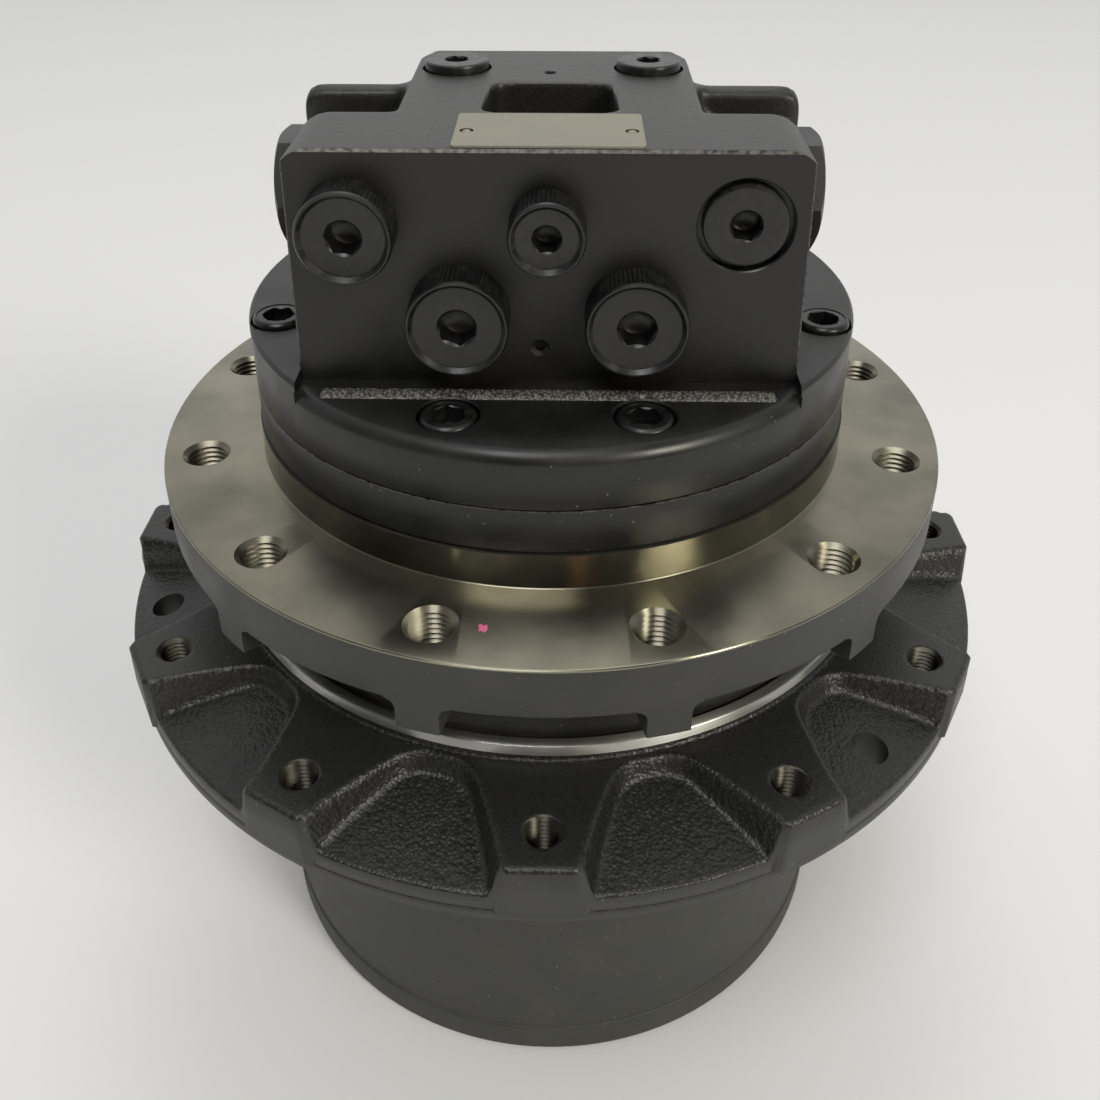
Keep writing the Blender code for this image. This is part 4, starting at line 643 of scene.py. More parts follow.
mesh = bmesh.new()
facing = Matrix.Rotation(QUARTER, 4, "X")
for k in range(12):
    turn = Matrix.Rotation(math.radians(FIRST_HOLE + SPAN * k), 4, "Z")
    raised(mesh, foot_outline(), FOOT_IN_R - 1, FLANGE_R + 3, turn @ facing)
feet = solid("feet", mesh, rim_paint)
trim = [(FOOT_IN_R, FOOT_LOW - 1), (FLANGE_R, FOOT_LOW - 1), (FLANGE_R, PLATE_LOW + 3),
        (FOOT_IN_R, PLATE_LOW + 3)]
work(feet, drawn(revolve, trim), "INTERSECT")
absorb(spindle, feet)
print("with feet:", len(spindle.data.polygons), "faces")

# %% [markdown]
# The bare steel is only where the lathe cut last: the flange's top, the pilot ring and the
# walls of the holes. Those faces are picked by where they lie, so one mesh carries the dark
# rim and the bright top as the real forging does.

# %% Bare faces and tapped holes
HOLE_CIRCLE_R = 130.0
SCREW_SPOTS = [(side * x, y) for x, y in ((30.0, -85.5), (94.0, -27.5), (56.0, 80.0))
               for side in (-1, 1)]
SCREW_BORE_R = 6.8
SCREW_BORE_LOW = 217
PIN_CIRCLE_R = 60
PIN_BORE_R = 12.3
PIN_BORE_LOW = 90
PIN_BORE_LONG = 23.3


def give(thing, finish, chosen):
    """Give a finish to the faces that are chosen by radius, centre (in mm) and normal."""
    index = thing.data.materials.find(finish.name)
    for face in thing.data.polygons:
        centre = face.center / MM
        if chosen(math.hypot(centre.x, centre.y), centre, face.normal):
            face.material_index = index


give(spindle, flange_steel, lambda r, spot, n: spot.z > FLANGE_TOP - 1.0 and r > 100)
mesh = bmesh.new()
for k in range(12):
    spot = polar(HOLE_CIRCLE_R, FIRST_HOLE + SPAN * k)
    threaded_hole(mesh, spot, FLANGE_TOP, depth=36, major=8.0, pitch=2.0)
work(spindle, mesh, finish=thread_steel)
mesh = bmesh.new()
for x, y in SCREW_SPOTS:
    rod(mesh, SCREW_BORE_R, 0, 40, 24, at(x, y, SCREW_BORE_LOW))
for k in range(3):
    place = at(*polar(PIN_CIRCLE_R, 120 * k, PIN_BORE_LOW))
    rod(mesh, PIN_BORE_R, 0, PIN_BORE_LONG, 24, place)
work(spindle, mesh)
place_piece(spindle, "fixed_side", "machined_steel", "spindle")

# %% [markdown]
# ## The hub casting
#
# The hub is the hardest form here. Twelve lobes rise from its flange with drafted, rounded
# sides, and between them lie rough pockets with rounded inner ends. Instead of joining boxes,
# the whole skin is lofted round the axis in half-degree steps: the same row of points at each
# step, with the heights across the flange given by how deep that place lies in a pocket.

# %% Shape of lobes and pockets
LOBE_TOP = 170.8
LOBE_FLAT = 168.3
LOBE_OUT_HALF = 11.7
LOBE_IN_HALF = 19.8
LOBE_IN_R = 137.0
LOBE_CURVE = 1.35
LOBE_DRAFT = 2.4
RIM_R = 167.3
RIM_LOW = 145.7
PARTING_Z = 151.0
POCKET_IN_R = 128.5
POCKET_IN_Z = 165.5
POCKET_OUT_Z = 157.0
WALL = 4.0
CORNER = 7.0


def smooth_step(value):
    """Rise from 0 to 1 with level ends."""
    value = min(1.0, max(0.0, value))
    return value * value * (3 - 2 * value)


def soft_min(first, second, reach):
    """Smaller of two lengths, with the corner between them rounded."""
    share = max(0.0, min(1.0, 0.5 + (second - first) / (2 * reach)))
    return second + (first - second) * share - reach * share * (1 - share)


def lobe_half(radius):
    """Half the width of a lobe's top: narrow at the rim, flaring inwards."""
    rise = max(0.0, (LOBE_FLAT - radius) / (LOBE_FLAT - LOBE_IN_R))
    return LOBE_OUT_HALF + (LOBE_IN_HALF - LOBE_OUT_HALF) * rise ** LOBE_CURVE


def flange_height(radius, degrees):
    """Height of the flange's upper skin at a place."""
    from_lobe = abs((degrees + SPAN / 2) % SPAN - SPAN / 2)
    across = radius * math.sin(math.radians(from_lobe)) - lobe_half(radius)
    inward = radius - POCKET_IN_R
    depth = soft_min(across, inward, CORNER) if radius > POCKET_IN_R - 4 else -1.0
    share = smooth_step(depth / WALL)
    slope = (radius - POCKET_IN_R) / (RIM_R - POCKET_IN_R)
    floor_z = POCKET_IN_Z + (POCKET_OUT_Z - POCKET_IN_Z) * max(0.0, slope)
    return LOBE_TOP + (floor_z - LOBE_TOP) * share


def rim_radius(degrees, height):
    """The rim is round, and flat in front of each lobe above the parting line."""
    from_lobe = math.radians(abs((degrees + SPAN / 2) % SPAN - SPAN / 2))
    flat = LOBE_FLAT / math.cos(from_lobe)
    half = LOBE_OUT_HALF + LOBE_DRAFT * (LOBE_TOP - height) / (LOBE_TOP - PARTING_Z)
    if height > PARTING_Z and flat * math.sin(from_lobe) < half:
        return flat
    return RIM_R


# %% [markdown]
# The row of points goes round the section once: up the case, out to the rim, in across the
# lobes or pockets, over the lip and down through the bores for seal, bearings and gears.

# %% Loft the hub
HUB_STEPS = 720
SKIN_ROWS = 36
SKIN_IN_R = 127.6
CASE_R = 119.5


def hub_profile(degrees):
    """One row of (radius, height) points, from the foot of the case round to the bore."""
    points = [(CASE_R, 14.8), (CASE_R, 20), (CASE_R, 134.5), (CASE_R + 0.6, 138.4),
              (CASE_R + 2.6, 142), (CASE_R + 6, 144.6), (CASE_R + 11, RIM_LOW),
              (RIM_R - 1.2, RIM_LOW), (RIM_R, RIM_LOW + 1.0), (RIM_R, PARTING_Z - 0.5),
              (RIM_R - 0.4, PARTING_Z), (rim_radius(degrees, PARTING_Z + 0.1), PARTING_Z + 0.3)]
    edge = rim_radius(degrees, LOBE_TOP - 3)
    top = flange_height(edge, degrees)
    chamfer = 1.2 if top > LOBE_TOP - 2 else 0.5
    points += [(rim_radius(degrees, (PARTING_Z + top) / 2), (PARTING_Z + top) / 2),
               (rim_radius(degrees, top), top - chamfer)]
    outer = rim_radius(degrees, top) - chamfer
    for k in range(SKIN_ROWS + 1):
        radius = outer + (SKIN_IN_R - outer) * k / SKIN_ROWS
        points.append((radius, flange_height(radius, degrees)))
    points += [(127.0, 171.0), (126.4, 171.8), (126.2, 172.6), (126.0, 172.9), (126.0, 175.9),
               (125.6, 176.3), (122.4, 176.3), (122.0, 175.9), (122.0, 170.0), (112.5, 170.0),
               (112.5, 158.1), (92.3, 158.1), (92.3, 150.2), (87.3, 150.2), (87.3, 123.6),
               (92.3, 123.6), (92.3, 96), (92.6, 96), (92.6, 19), (101, 19), (101, 14.8)]
    return points


turns = [360 * step / HUB_STEPS for step in range(HUB_STEPS)]
rows = [[polar(r, turn, z) for r, z in hub_profile(turn)] for turn in turns]
hub = solid("hub_casting", drawn(skin, rows, False), rough_casting, soft_casting, rim_paint,
            lip_steel, case_paint, dark_thread)
print("hub:", len(hub.data.polygons), "faces")

# %% [markdown]
# Paint and bare metal are again picked by place. Each lobe has a tapped hole for the sprocket,
# and three plain jig holes lie in the pockets.

# %% Finishes and holes of the hub
SPROCKET_CIRCLE_R = 154.3
JIG_ANGLES = (45.0, 165.0, 285.0)
JIG_R = 6.2


def on_rim(r, spot, n):
    return spot.z < LOBE_TOP - 0.2 and r > RIM_R - 0.9 and n.z < 0.5


def on_lobe_top(r, spot, n):
    return r > 129 and spot.z > LOBE_TOP - 0.05 and n.z > 0.99


give(hub, case_paint, lambda r, spot, n: spot.z < 143.5 and r > 118)
give(hub, rim_paint, on_rim)
give(hub, soft_casting, on_lobe_top)
give(hub, lip_steel, lambda r, spot, n: spot.z > 172.5 and r > 118)
mesh = bmesh.new()
for k in range(12):
    spot = polar(SPROCKET_CIRCLE_R, SPAN * k)
    threaded_hole(mesh, spot, LOBE_TOP, depth=32, major=6.0, pitch=1.75, mouth=0.5, steps=24)
work(hub, mesh, finish=dark_thread)
mesh = bmesh.new()
for degrees in JIG_ANGLES:
    rod(mesh, JIG_R, 130, 180, 32, at(*polar(SPROCKET_CIRCLE_R, degrees)))
work(hub, mesh, finish=rim_paint)
print("holes cut:", len(hub.data.polygons), "faces")

# %% [markdown]
# The inside of the case is the ring gear. Nobody sees it in the photograph, but the real gear
# is broached straight into this casting, so its 48 tooth spaces are cut as involutes here too.

# %% Ring gear
MODULE = 4.0
RING_TEETH = 48
PRESSURE = math.radians(20)
BACKLASH = 0.25
TIP_R = 92
PITCH_R = MODULE * RING_TEETH / 2
ROOT_R = 101
GEAR_LOW = 17
GEAR_TOP = 92.5


def involute(angle):
    return math.tan(angle) - angle


def space_half(radius):
    """Half the angle of a tooth space at a radius, in degrees."""
    base_r = PITCH_R * math.cos(PRESSURE)
    here = math.acos(min(1.0, base_r / radius))
    half = math.pi / (2 * RING_TEETH) + BACKLASH / PITCH_R + involute(PRESSURE) - involute(here)
    return math.degrees(half)


outline = []
for k in range(RING_TEETH):
    middle = 360 * (k + 0.5) / RING_TEETH
    for radius, side in ((TIP_R, -1), (PITCH_R, -1), (ROOT_R, -1),
                         (ROOT_R, 1), (PITCH_R, 1), (TIP_R, 1)):
        spot = polar(radius, middle + side * space_half(radius))
        outline.append((spot.x, spot.y))
work(hub, drawn(raised, outline, GEAR_LOW, GEAR_TOP))
place_piece(hub, "hub", "cast_black", "housing", sharp=62)

# %% [markdown]
# ## Cover
#
# The cover closes the case at the bottom. It is a turned plate in the same worn paint, one hair
# wider than the case, with a filler plug in its foot.

# %% Cover and its plug
FILLER_SPOT = at(*polar(85, 0))
FILLER_R = 9
FILLER_SOCKET = 10


def hexagon(across_flats, first=0.0):
    radius = across_flats / math.sqrt(3)
    return [tuple(polar(radius, first + 60 * k))[:2] for k in range(6)]


plate = [(70, 4), (74, 0), (118.2, 0), (120.2, 2), (120.2, 13.6), (119.6, 14.5), (100, 14.5),
         (100, 17.5)]
plate = [(0, 4)] + soften(plate, 0.7) + [(0, 17.5)]
cover = solid("gearbox_cover", drawn(revolve, plate), case_paint)
work(cover, drawn(rod, FILLER_R + 0.3, -5, 30, 48, FILLER_SPOT))
place_piece(cover, "hub", "case_paint", "cover")

head = [(0, 1.2), (FILLER_R - 0.6, 1.2), (FILLER_R, 1.8), (FILLER_R, 14.5), (0, 14.5)]
plug = solid("cover_filler_plug", drawn(revolve, head, 48, FILLER_SPOT), black_oxide)
work(plug, drawn(raised, hexagon(FILLER_SOCKET), -5, 7.2, FILLER_SPOT))
place_piece(plug, "hub", "screw_black", "cover_plug")

# %% [markdown]
# ## Motor ring and rear flange
#
# Two black painted rings stand on the pilot ring. The upper one is the rear flange, whose casting
# carries the valve block. Small rounded edges where they meet make the fine seams that run round
# the drive, and the motor ring's upper edge is rubbed bare.

# %% Motor ring
BODY_R = 108.3
RING_LOW = 239.8
RING_TOP = 255.2
RUBBED = 0.6

wall = [(63.3, RING_LOW), (BODY_R, RING_LOW), (BODY_R, RING_TOP), (70.4, RING_TOP),
        (70.4, 241.6), (63.3, 241.6)]
motor_ring = solid("motor_case_ring", drawn(revolve, soften(wall, 0.5, 2)), ring_paint,
                   rubbed_edge)
mesh = bmesh.new()
for x, y in SCREW_SPOTS:
    rod(mesh, SCREW_BORE_R, RING_LOW - 5, RING_TOP + 5, 32, at(x, y))
work(motor_ring, mesh)
give(motor_ring, rubbed_edge, lambda r, spot, n: (
    r > BODY_R - RUBBED and spot.z > RING_TOP - RUBBED and 0.2 < n.z < 0.98))
place_piece(motor_ring, "fixed_side", "black_paint", "motor_ring")

# %% [markdown]
# ## Valve block
#
# The block is a casting with a milled front, sides and back. It is joined from a bar, two
# shoulders, a ridge at each side and a table with a pocket, drawn 2 mm or more too large where
# the mill cuts, and remeshed so that every corner is soft.

# %% Cast block
FACE_Y = -64.3
BLOCK_HALF = 78.0
BLOCK_BACK = 53
BLOCK_LOW = 262
BLOCK_TOP = 350.9
STOCK = 2.0
BAR_BACK = -25.5
BAR_SLOPE = 7
VALLEY = 338.5
RIDGE_HALF = 84.7
RIDGE_ROWS = ((4, 348.2), (9, 350.6), (42, 319))
TABLE_HALF = 49.0
TABLE_FRONT = -31
FILLET = ((8, 0.6), (4.4, 1.6), (1.8, 4.2), (0.4, 8.5))
POCKET_FLOOR = 331
ABOVE = 360


def box(mesh, low, high):
    outline = [(low[0], low[1]), (high[0], low[1]), (high[0], high[1]), (low[0], high[1])]
    raised(mesh, outline, low[2], high[2])


sideways = Matrix.Rotation(QUARTER, 4, "Z") @ Matrix.Rotation(QUARTER, 4, "X")
wide = BLOCK_HALF + STOCK + 1
bar = [(-wide, BLOCK_LOW), (wide, BLOCK_LOW), (wide, BLOCK_TOP - BAR_SLOPE),
       (wide - BAR_SLOPE, BLOCK_TOP), (BAR_SLOPE - wide, BLOCK_TOP),
       (-wide, BLOCK_TOP - BAR_SLOPE)]
bar = drawn(raised, soften(bar, 5, 4), -BAR_BACK, STOCK - FACE_Y, facing)
block = solid("valve_block", bar, soft_casting)
work(block, drawn(box, (-wide, TABLE_FRONT, BLOCK_LOW), (wide, 9, VALLEY)), "UNION")
rows = []
for y, top in RIDGE_ROWS:
    row = [(-RIDGE_HALF, BLOCK_LOW), (RIDGE_HALF, BLOCK_LOW), (RIDGE_HALF, top),
           (-RIDGE_HALF, top)]
    rows.append([(x, y, z) for x, z in soften(row, 7, 4)])
work(block, drawn(skin, rows), "UNION")
table = [(-TABLE_HALF, TABLE_FRONT), (TABLE_HALF, TABLE_FRONT), (TABLE_HALF, 43),
         (44, BLOCK_BACK + STOCK), (-44, BLOCK_BACK + STOCK), (-TABLE_HALF, 43)]
work(block, drawn(raised, table, BLOCK_LOW, BLOCK_TOP), "UNION")
foot = [(-TABLE_HALF - 8, VALLEY - 4), (TABLE_HALF + 8, VALLEY - 4)]
for reach, rise in FILLET:
    foot.append((TABLE_HALF + reach, VALLEY + rise))
    foot.insert(0, (-TABLE_HALF - reach, VALLEY + rise))
work(block, drawn(raised, foot, -6, 28, facing), "UNION")
slope = [(4, 300), (41, 300), (41, 321), (10, 350.5), (4, 350.5)]
work(block, drawn(raised, slope, -TABLE_HALF - 2.4, TABLE_HALF + 2.4, sideways), "UNION")
pocket = [(-22, BAR_BACK), (22, BAR_BACK), (20, 8), (-20, 8)]
work(block, drawn(raised, soften(pocket, 5), POCKET_FLOOR, ABOVE))
cast(block, cell_mm=1.15, passes=9)
print("cast block:", len(block.data.polygons), "faces")

# %% [markdown]
# Straight prisms then trim the casting, as the mill does, with a broken edge round the face.
# What the mill misses keeps its cast skin. The block is joined to the round flange, whose ledge
# is sunk and rounded in front.

# %% Milled faces
EDGE = 0.6
TRIM_LOW = 264
FLANGE_Z = 278.5
LEDGE_Z = 275.0
LEDGE_HALF = 79.3
LEDGE_ROUND = ((104.0, 275.2), (105.6, 274.6), (107.0, 273.4), (107.9, 271.8), (108.5, 270.0),
               (112.0, 270.0), (112.0, 275.2))
OFF_GRID = 0.99  # keeps the ledge's corners off those of the round flange

rows = []
for z, half in ((TRIM_LOW, LEDGE_HALF + 0.2), (ABOVE, BLOCK_HALF - 0.3)):
    plan = [(-half, FACE_Y + EDGE), (EDGE - half, FACE_Y), (half - EDGE, FACE_Y),
            (half, FACE_Y + EDGE), (half, 1), (90, 2), (90, BLOCK_BACK), (-90, BLOCK_BACK),
            (-90, 2), (-half, 1)]
    rows.append([(x, y, z) for x, y in plan])
work(block, drawn(skin, rows), "INTERSECT")
side_view = [(FACE_Y - 1, TRIM_LOW), (BLOCK_BACK, TRIM_LOW), (BLOCK_BACK, ABOVE),
             (FACE_Y + 0.9, ABOVE), (FACE_Y + 0.9, BLOCK_TOP - 0.1), (FACE_Y, BLOCK_TOP - 1.0),
             (FACE_Y - 1, BLOCK_TOP - 2.1)]
work(block, drawn(raised, side_view, -RIDGE_HALF - 1, RIDGE_HALF + 1, sideways), "INTERSECT")

disc = [(48, 237.6), (48, 255.5), (BODY_R, 255.5), (BODY_R, FLANGE_Z - 1.2),
        (BODY_R - 1.2, FLANGE_Z)]
inner = [(0, FLANGE_Z), (0, 259.1), (16.5, 259.1)]
disc = drawn(revolve, [(16.5, 237.6)] + soften(disc, 0.4, 2) + inner)
rear = solid("rear_flange_and_block", disc, ring_paint, black_enamel, soft_casting, rubbed_edge,
             black_oxide)
work(rear, drawn(box, (-LEDGE_HALF, -120, LEDGE_Z), (LEDGE_HALF, FACE_Y + 0.3, 300)))
rows = [[polar(r, degrees * OFF_GRID, z) for r, z in LEDGE_ROUND]
        for degrees in range(-48, 49, 2)]
work(rear, drawn(skin, rows))
absorb(rear, block, soft_casting)
print("rear flange:", len(rear.data.polygons), "faces")

# %% Enamel on the milled faces
def is_milled(r, spot, n):
    """The front, both sides and the back are flat and upright."""
    on_side = spot.y < 1 and abs(spot.x) > BLOCK_HALF - 0.3
    trimmed = spot.y < FACE_Y + 0.05 or on_side or spot.y > BLOCK_BACK - 0.1
    return spot.z > FLANGE_Z + 0.2 and trimmed and max(abs(n.x), abs(n.y)) > 0.99


def is_rubbed(r, spot, n):
    """The broken edge round the face, where the paint is rubbed off."""
    slanted = 0.3 < max(abs(n.x), abs(n.y)) < 0.95
    return spot.z > 282 and spot.y < FACE_Y + 0.95 and slanted


give(rear, black_enamel, lambda r, spot, n: FLANGE_Z - 4 < spot.z < FLANGE_Z + 0.1 and n.z > 0.9)
give(rear, black_enamel, is_milled)
give(rear, rubbed_edge, is_rubbed)
print("milled faces are enamelled")

# %% [markdown]
# The bores follow: five for the front plugs, one across the block for the spool and its caps,
# two counterbores on the table, six for the flange screws, and the ports on the back.

# %% Bores of the block
# Name, radius, x, z, how far the head stands out, turn of its socket.
FRONT_PLUGS = (
    ("plug_upper_left", 14.5, -59.0, 328.0, 12.8, 25),
    ("plug_upper_middle", 11.6, 0.0, 328.0, 12.8, 32),
    ("plug_flat", 13.0, 59.0, 328.0, 0.0, 20),
    ("plug_lower_left", 15.8, -27.2, 299.3, 12.8, 8),
    ("plug_lower_right", 15.8, 27.2, 299.3, 12.8, 30),
)
STEM_SHARE = 0.72
SPOOL_Y = -30.0
SPOOL_Z = 327.5
TOP_PLUG = (34.0, 28.3)
PORT = (24, 305)
DRAIN_Z = 330
GAP = 0.3
SCREW_RISE = 2
SCREW_HEAD = 12
SINK_R = 9.9
SINK_MOUTH_R = 10.4
backwards = Matrix.Rotation(-QUARTER, 4, "X")


def bore(mesh, place, steps, *rows):
    """Stepped bore along the local Z axis: (radius, from, to) for each step, joined in order."""
    profile = [(0, rows[0][1])]
    for radius, low, high in rows:
        profile += [(radius, low), (radius, high)]
    revolve(mesh, profile + [(0, rows[-1][2])], steps, place)


mesh = bmesh.new()
for name, radius, x, z, proud, turn in FRONT_PLUGS:
    place = at(x, FACE_Y, z) @ facing
    stem = radius * STEM_SHARE + 0.5
    if proud:
        bore(mesh, place, 48, (stem, -10.6, -0.5), (stem + 0.5, 0, 5))
    else:
        bore(mesh, place, 64, (stem, -13.6, -3.3), (14.6, -3.3, -0.4), (15.0, 0, 5))
bore(mesh, at(-2.4, FACE_Y, 286.8) @ facing, 32, (1.6, -3, -1.2), (3.1, -0.4, 5))
for side in (-1, 1):
    place = at(side * TOP_PLUG[0], TOP_PLUG[1], BLOCK_TOP)
    bore(mesh, place, 64, (8.7, -12.6, -2.3), (12.3, -2.3, 12))
    place = at(side * PORT[0], BLOCK_BACK, PORT[1]) @ backwards
    bore(mesh, place, 48, (9.4, -18, -1.2), (10.4, 0, 9))
bore(mesh, at(0, BLOCK_BACK, DRAIN_Z) @ backwards, 40, (6.6, -18, -1), (7.4, 0, 9))
bore(mesh, at(-0.7, 21.8, BLOCK_TOP), 24, (1.9, -5, -0.4), (2.3, 0, 6))
work(rear, mesh, finish=black_oxide)
across = at(0, SPOOL_Y, SPOOL_Z) @ Matrix.Rotation(QUARTER, 4, "Y")
spool_bore = drawn(bore, across, 48, (11.5, -100, -61.7), (6.5, -61.7, 61.7), (11.5, 61.7, 100))
work(rear, spool_bore, finish=black_oxide)
mesh = bmesh.new()
for x, y in SCREW_SPOTS:
    surface = LEDGE_Z if y < FACE_Y else FLANGE_Z
    seat = surface + SCREW_RISE - SCREW_HEAD - GAP
    bore(mesh, at(x, y), 48, (SCREW_BORE_R, 240, seat),
         (SINK_R, seat, surface - 0.4), (SINK_MOUTH_R, surface, 310))
work(rear, mesh, finish=black_enamel)
place_piece(rear, "fixed_side", "black_paint", "rear_flange", sharp=30)

# %% [markdown]
# In front of the milled face a strip of torn casting stands on the ledge, left by the mill. Its
# small ridge is pushed about by noise vertex by vertex, and its grain tops are painted pale grey,
# a painted highlight that shows as a bright ragged line. The screws' sinkings cut into it.

# %% Cast strip
STRIP_HALF = 72.0
STRIP_STEPS = 300
STRIP_LOW = 274.7
STRIP_SHAPE = ((-70.8, STRIP_LOW), (-71.2, 275.9), (-72.4, 276.4), (-74.0, 276.3),
               (-75.6, 275.8), (-76.5, 275.1), (-76.8, STRIP_LOW))
GRAIN_HEIGHT = 1.1
WAVE_HEIGHT = 0.4

rows = []
for step in range(STRIP_STEPS + 1):
    x = STRIP_HALF * (2 * step / STRIP_STEPS - 1)
    end = smooth_step((STRIP_HALF - abs(x)) / 2.0)
    row = []
    for k, (y, z) in enumerate(STRIP_SHAPE):
        grain = noise.noise(Vector((x * 0.8, y * 0.4, z * 0.9))) * GRAIN_HEIGHT
        grain += noise.noise(Vector((x * 0.16, k, 3.0))) * WAVE_HEIGHT
        push = grain * end if 0 < k < 5 else 0.0
        height = min(z, STRIP_LOW + (z - STRIP_LOW) * end + push)
        row.append((x, y - push * 0.7, height))
    rows.append(row)
strip = solid("cast_strip", drawn(skin, rows), torn_casting_painted_highlight)
mesh = bmesh.new()
for x, y in SCREW_SPOTS[:2]:
    rod(mesh, SINK_MOUTH_R, 270, 280, 48, at(x, y))
work(strip, mesh)
place_piece(strip, "fixed_side", "black_paint", sharp=70)

# %% [markdown]
# ## Plugs, caps and screws
#
# Four of the front plugs have knurled heads with dished faces. A knurl is pressed into the side
# of the head as straight teeth 1.4 mm apart, so the head is a spun profile in which every second
# column of points sits a little deeper. The sockets are cut as hexagons.

# %% Plugs
KNURL_DEPTH = 0.45
KNURL_PITCH = 1.4
DISH = 1.6
FLUSH = 3.0
SOCKET_SHARE = 0.68
SOCKET_DEPTH = 7


def knurled(mesh, radius, rows, place):
    """Spin rows of (inset from the radius, height); those marked True get teeth."""
    steps = 2 * int(2 * math.pi * radius / KNURL_PITCH)
    loops = []
    for inset, height, *marked in rows:
        cuts = (0, KNURL_DEPTH if marked else 0)
        loops.append([place @ polar(radius - inset - cuts[k % 2], 360 * k / steps, height)
                      for k in range(steps)])
    skin(mesh, loops)


def socket_cut(thing, place, flats, top, depth, first):
    """Hexagon socket with a drill's cone at its bottom and a small countersink at its mouth."""
    work(thing, drawn(raised, hexagon(flats, first), top - depth, top + 5, place))
    mesh = bmesh.new()
    wide = flats * 0.58
    mouth = [(0, top - 0.9), (wide - 0.9, top - 0.9), (wide + 0.5, top + 0.5), (0, top + 0.5)]
    revolve(mesh, mouth, 36, place)
    cone = [(0, top - depth - flats * 0.25), (flats * 0.46, top - depth + 0.1),
            (0, top - depth + 0.1)]
    revolve(mesh, cone, 36, place)
    work(thing, mesh)


for name, radius, x, z, proud, turn in FRONT_PLUGS:
    mesh = bmesh.new()
    stem = radius * (1 - STEM_SHARE)
    if proud:
        place = at(x, FACE_Y - GAP, z) @ facing
        rows = [(stem, -10), (stem, -0.1), (0.7, 0), (0.1, 0.5), (0.0, 0.9, True),
                (0.0, proud - 1.5, True), (0.05, proud - 1.2), (0.2, proud - 0.5), (0.6, proud),
                (1.1, proud), (2.3, proud - DISH + 0.2), (2.9, proud - DISH)]
        top = proud - DISH
    else:
        place = at(x, FACE_Y + FLUSH, z) @ facing
        rows = [(stem, -10), (stem, -0.1), (0.4, 0), (0, 0.4), (0, FLUSH - 0.8),
                (0.35, FLUSH - 0.25), (1.0, FLUSH), (1.8, FLUSH)]
        top = FLUSH
    knurled(mesh, radius, rows, place)
    plug = solid("front_" + name, mesh, black_oxide)
    socket_cut(plug, place, radius * SOCKET_SHARE, top, SOCKET_DEPTH, turn)
    place_piece(plug, "fixed_side", "screw_black", name, sharp=28)

# %% Plugs on the table
TABLE_PLUG_R = 11.3
TABLE_PLUG_TOP = 5.0

for side, name in ((-1, "top_plug_left"), (1, "top_plug_right")):
    place = at(side * TOP_PLUG[0], TOP_PLUG[1], BLOCK_TOP - 2)
    rows = [(3.2, -10), (3.2, -0.1), (0.3, 0), (0, 0.4), (0, 3.9), (0.3, 4.6),
            (0.9, TABLE_PLUG_TOP), (1.6, TABLE_PLUG_TOP)]
    plug = solid("table_" + name, drawn(knurled, TABLE_PLUG_R, rows, place), black_oxide)
    socket_cut(plug, place, 7.7, TABLE_PLUG_TOP, SOCKET_DEPTH, 15)
    place_piece(plug, "fixed_side", "screw_black", name, sharp=28)

# %% [markdown]
# The six screws of the rear flange are plain cylinder heads. The two on the ledge are sunk to
# their tops, the other four stand 2 mm out. A hexagon cap closes each end of the spool's bore.

# %% Flange screws
LEDGE_RISE = 0.2
SCREW_LOW = 218

for number, (x, y) in enumerate(SCREW_SPOTS, 1):
    surface, rise = (LEDGE_Z, LEDGE_RISE) if y < FACE_Y else (FLANGE_Z, SCREW_RISE)
    top = surface + rise
    place = at(x, y)
    shape = [(6, SCREW_LOW), (6, surface - 10), (9, surface - 10), (9, top - 1.3), (7.7, top)]
    shape = [(0, SCREW_LOW)] + soften(shape, 0.5, 2) + [(0, top)]
    screw = solid("rear_flange_screw_%d" % number, drawn(revolve, shape, 56, place), black_oxide)
    socket_cut(screw, place, 10, top, 6, 11 * number)
    place_piece(screw, "fixed_side", "screw_black", "flange_screw_%d" % number)

# %% Hexagon caps of the spool bore
CAP_FLATS = 34.4

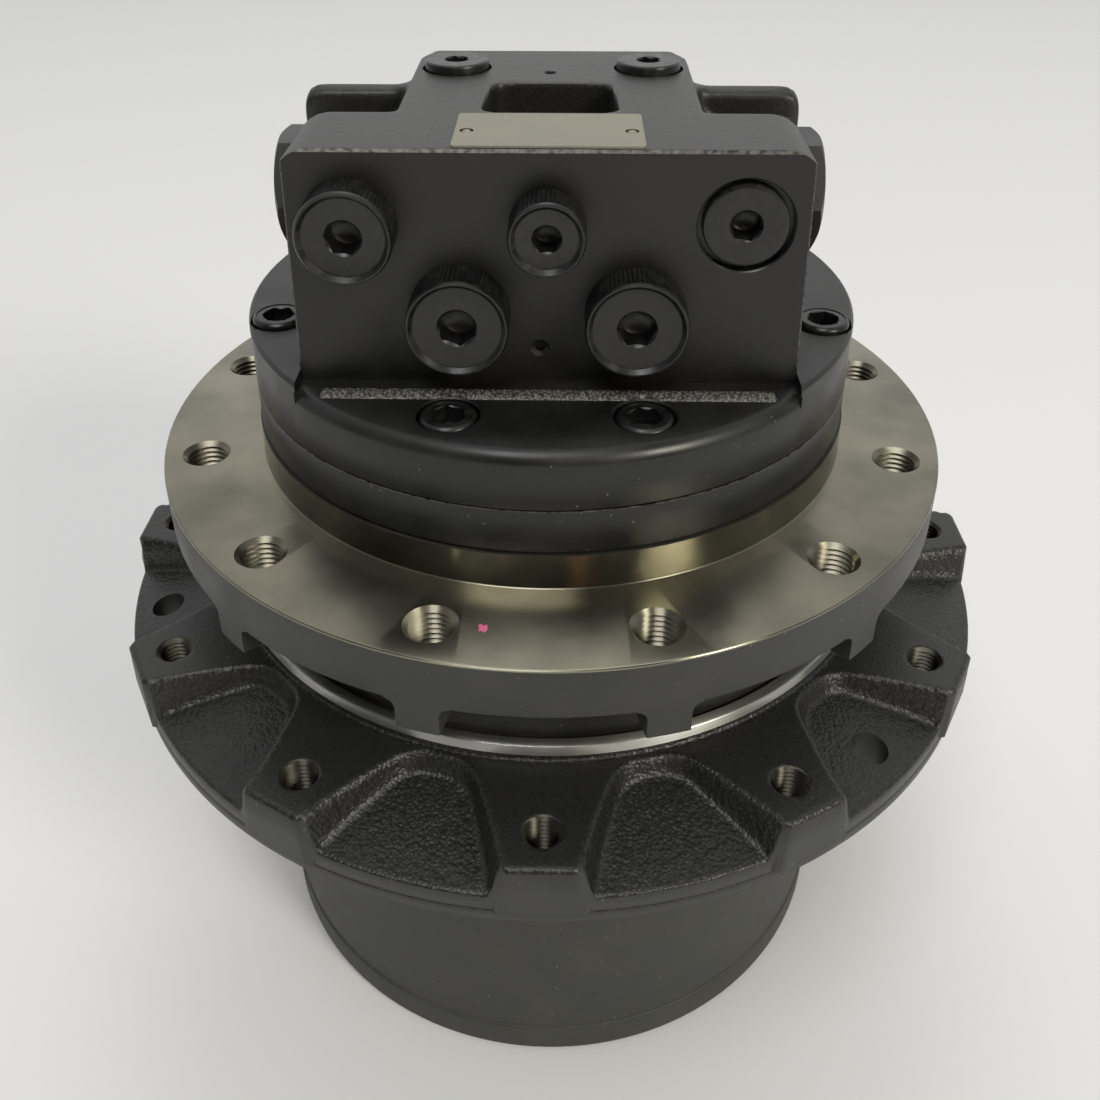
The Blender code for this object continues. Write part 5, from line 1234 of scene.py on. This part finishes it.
for side, name in ((-1, "spool_cap_left"), (1, "spool_cap_right")):
    place = at(side * (BLOCK_HALF + GAP), SPOOL_Y, SPOOL_Z)
    place = place @ Matrix.Rotation(side * QUARTER, 4, "Y")
    crown = [(0, -16), (11, -16), (11, -0.1), (16.6, -0.1), (16.8, 0.6), (19.9, 0.7),
             (19.9, 5.3), (17.0, 6.7), (14.0, 6.7), (13.6, 6.3), (0, 6.3)]
    cap = solid("hex_" + name, drawn(revolve, crown, 96, place), black_enamel)
    work(cap, drawn(raised, hexagon(CAP_FLATS), -20, 20, place), "INTERSECT")
    place_piece(cap, "fixed_side", "black_paint", name)

# %% [markdown]
# ## Blank plate
#
# Two flat rivets hold a thin plate on the block's top. On the part it stays blank.

# %% Plate and rivets
PLATE_TOP = BLOCK_TOP + 0.75
RIVETS = (Vector((-24.5, -48.5, PLATE_TOP - 0.5)), Vector((25.0, -48.5, PLATE_TOP - 0.5)))

plate = soften([(-28.1, -63.0), (28.5, -63.0), (28.5, -30.5), (-28.1, -30.5)], 1.2)
sheet = solid("blank_plate", drawn(raised, plate, BLOCK_TOP - 0.1, PLATE_TOP), plate_metal)
mesh = bmesh.new()
for spot in RIVETS:
    rod(mesh, 2.1, 0, 2, 24, at(*spot))
work(sheet, mesh, finish=black_oxide)
place_piece(sheet, "fixed_side", "machined_steel")
for number, spot in enumerate(RIVETS, 1):
    dome = [(0, -1.5), (1.5, -1.5), (1.6, 0), (1.4, 0.35), (0.9, 0.6), (0, 0.7)]
    rivet = solid("plate_rivet_%d" % number, drawn(revolve, dome, 24, at(*spot)), plate_metal)
    place_piece(rivet, "fixed_side", "machined_steel")

# %% [markdown]
# ## Paint mark
#
# A thin dab of pink marking paint, 3 mm across with an uneven edge, sits on the frame flange.

# %% Paint mark
pink_paint = dull_paint("pink_marking_paint", "C84E7C", "E889A8", 0.45, 0.6, 1.0, 0.02)
BLOT = ((1.4, 0.4), (1.0, 1.9), (0.1, 1.0), (-0.8, 2.2), (-1.6, 1.2), (-1.1, 0.1), (-1.5, -1.4),
        (-0.3, -0.9), (0.4, -2.1), (1.1, -1.0))
BLOT_SPOT = (-17.9, -127.4)

outline = soften([(x + BLOT_SPOT[0], y + BLOT_SPOT[1]) for x, y in BLOT], 0.6)
blot = drawn(raised, outline, FLANGE_TOP - 0.05, FLANGE_TOP + 0.08)
mark = solid("paint_mark", blot, pink_paint)
place_piece(mark, "fixed_side", "machined_steel")
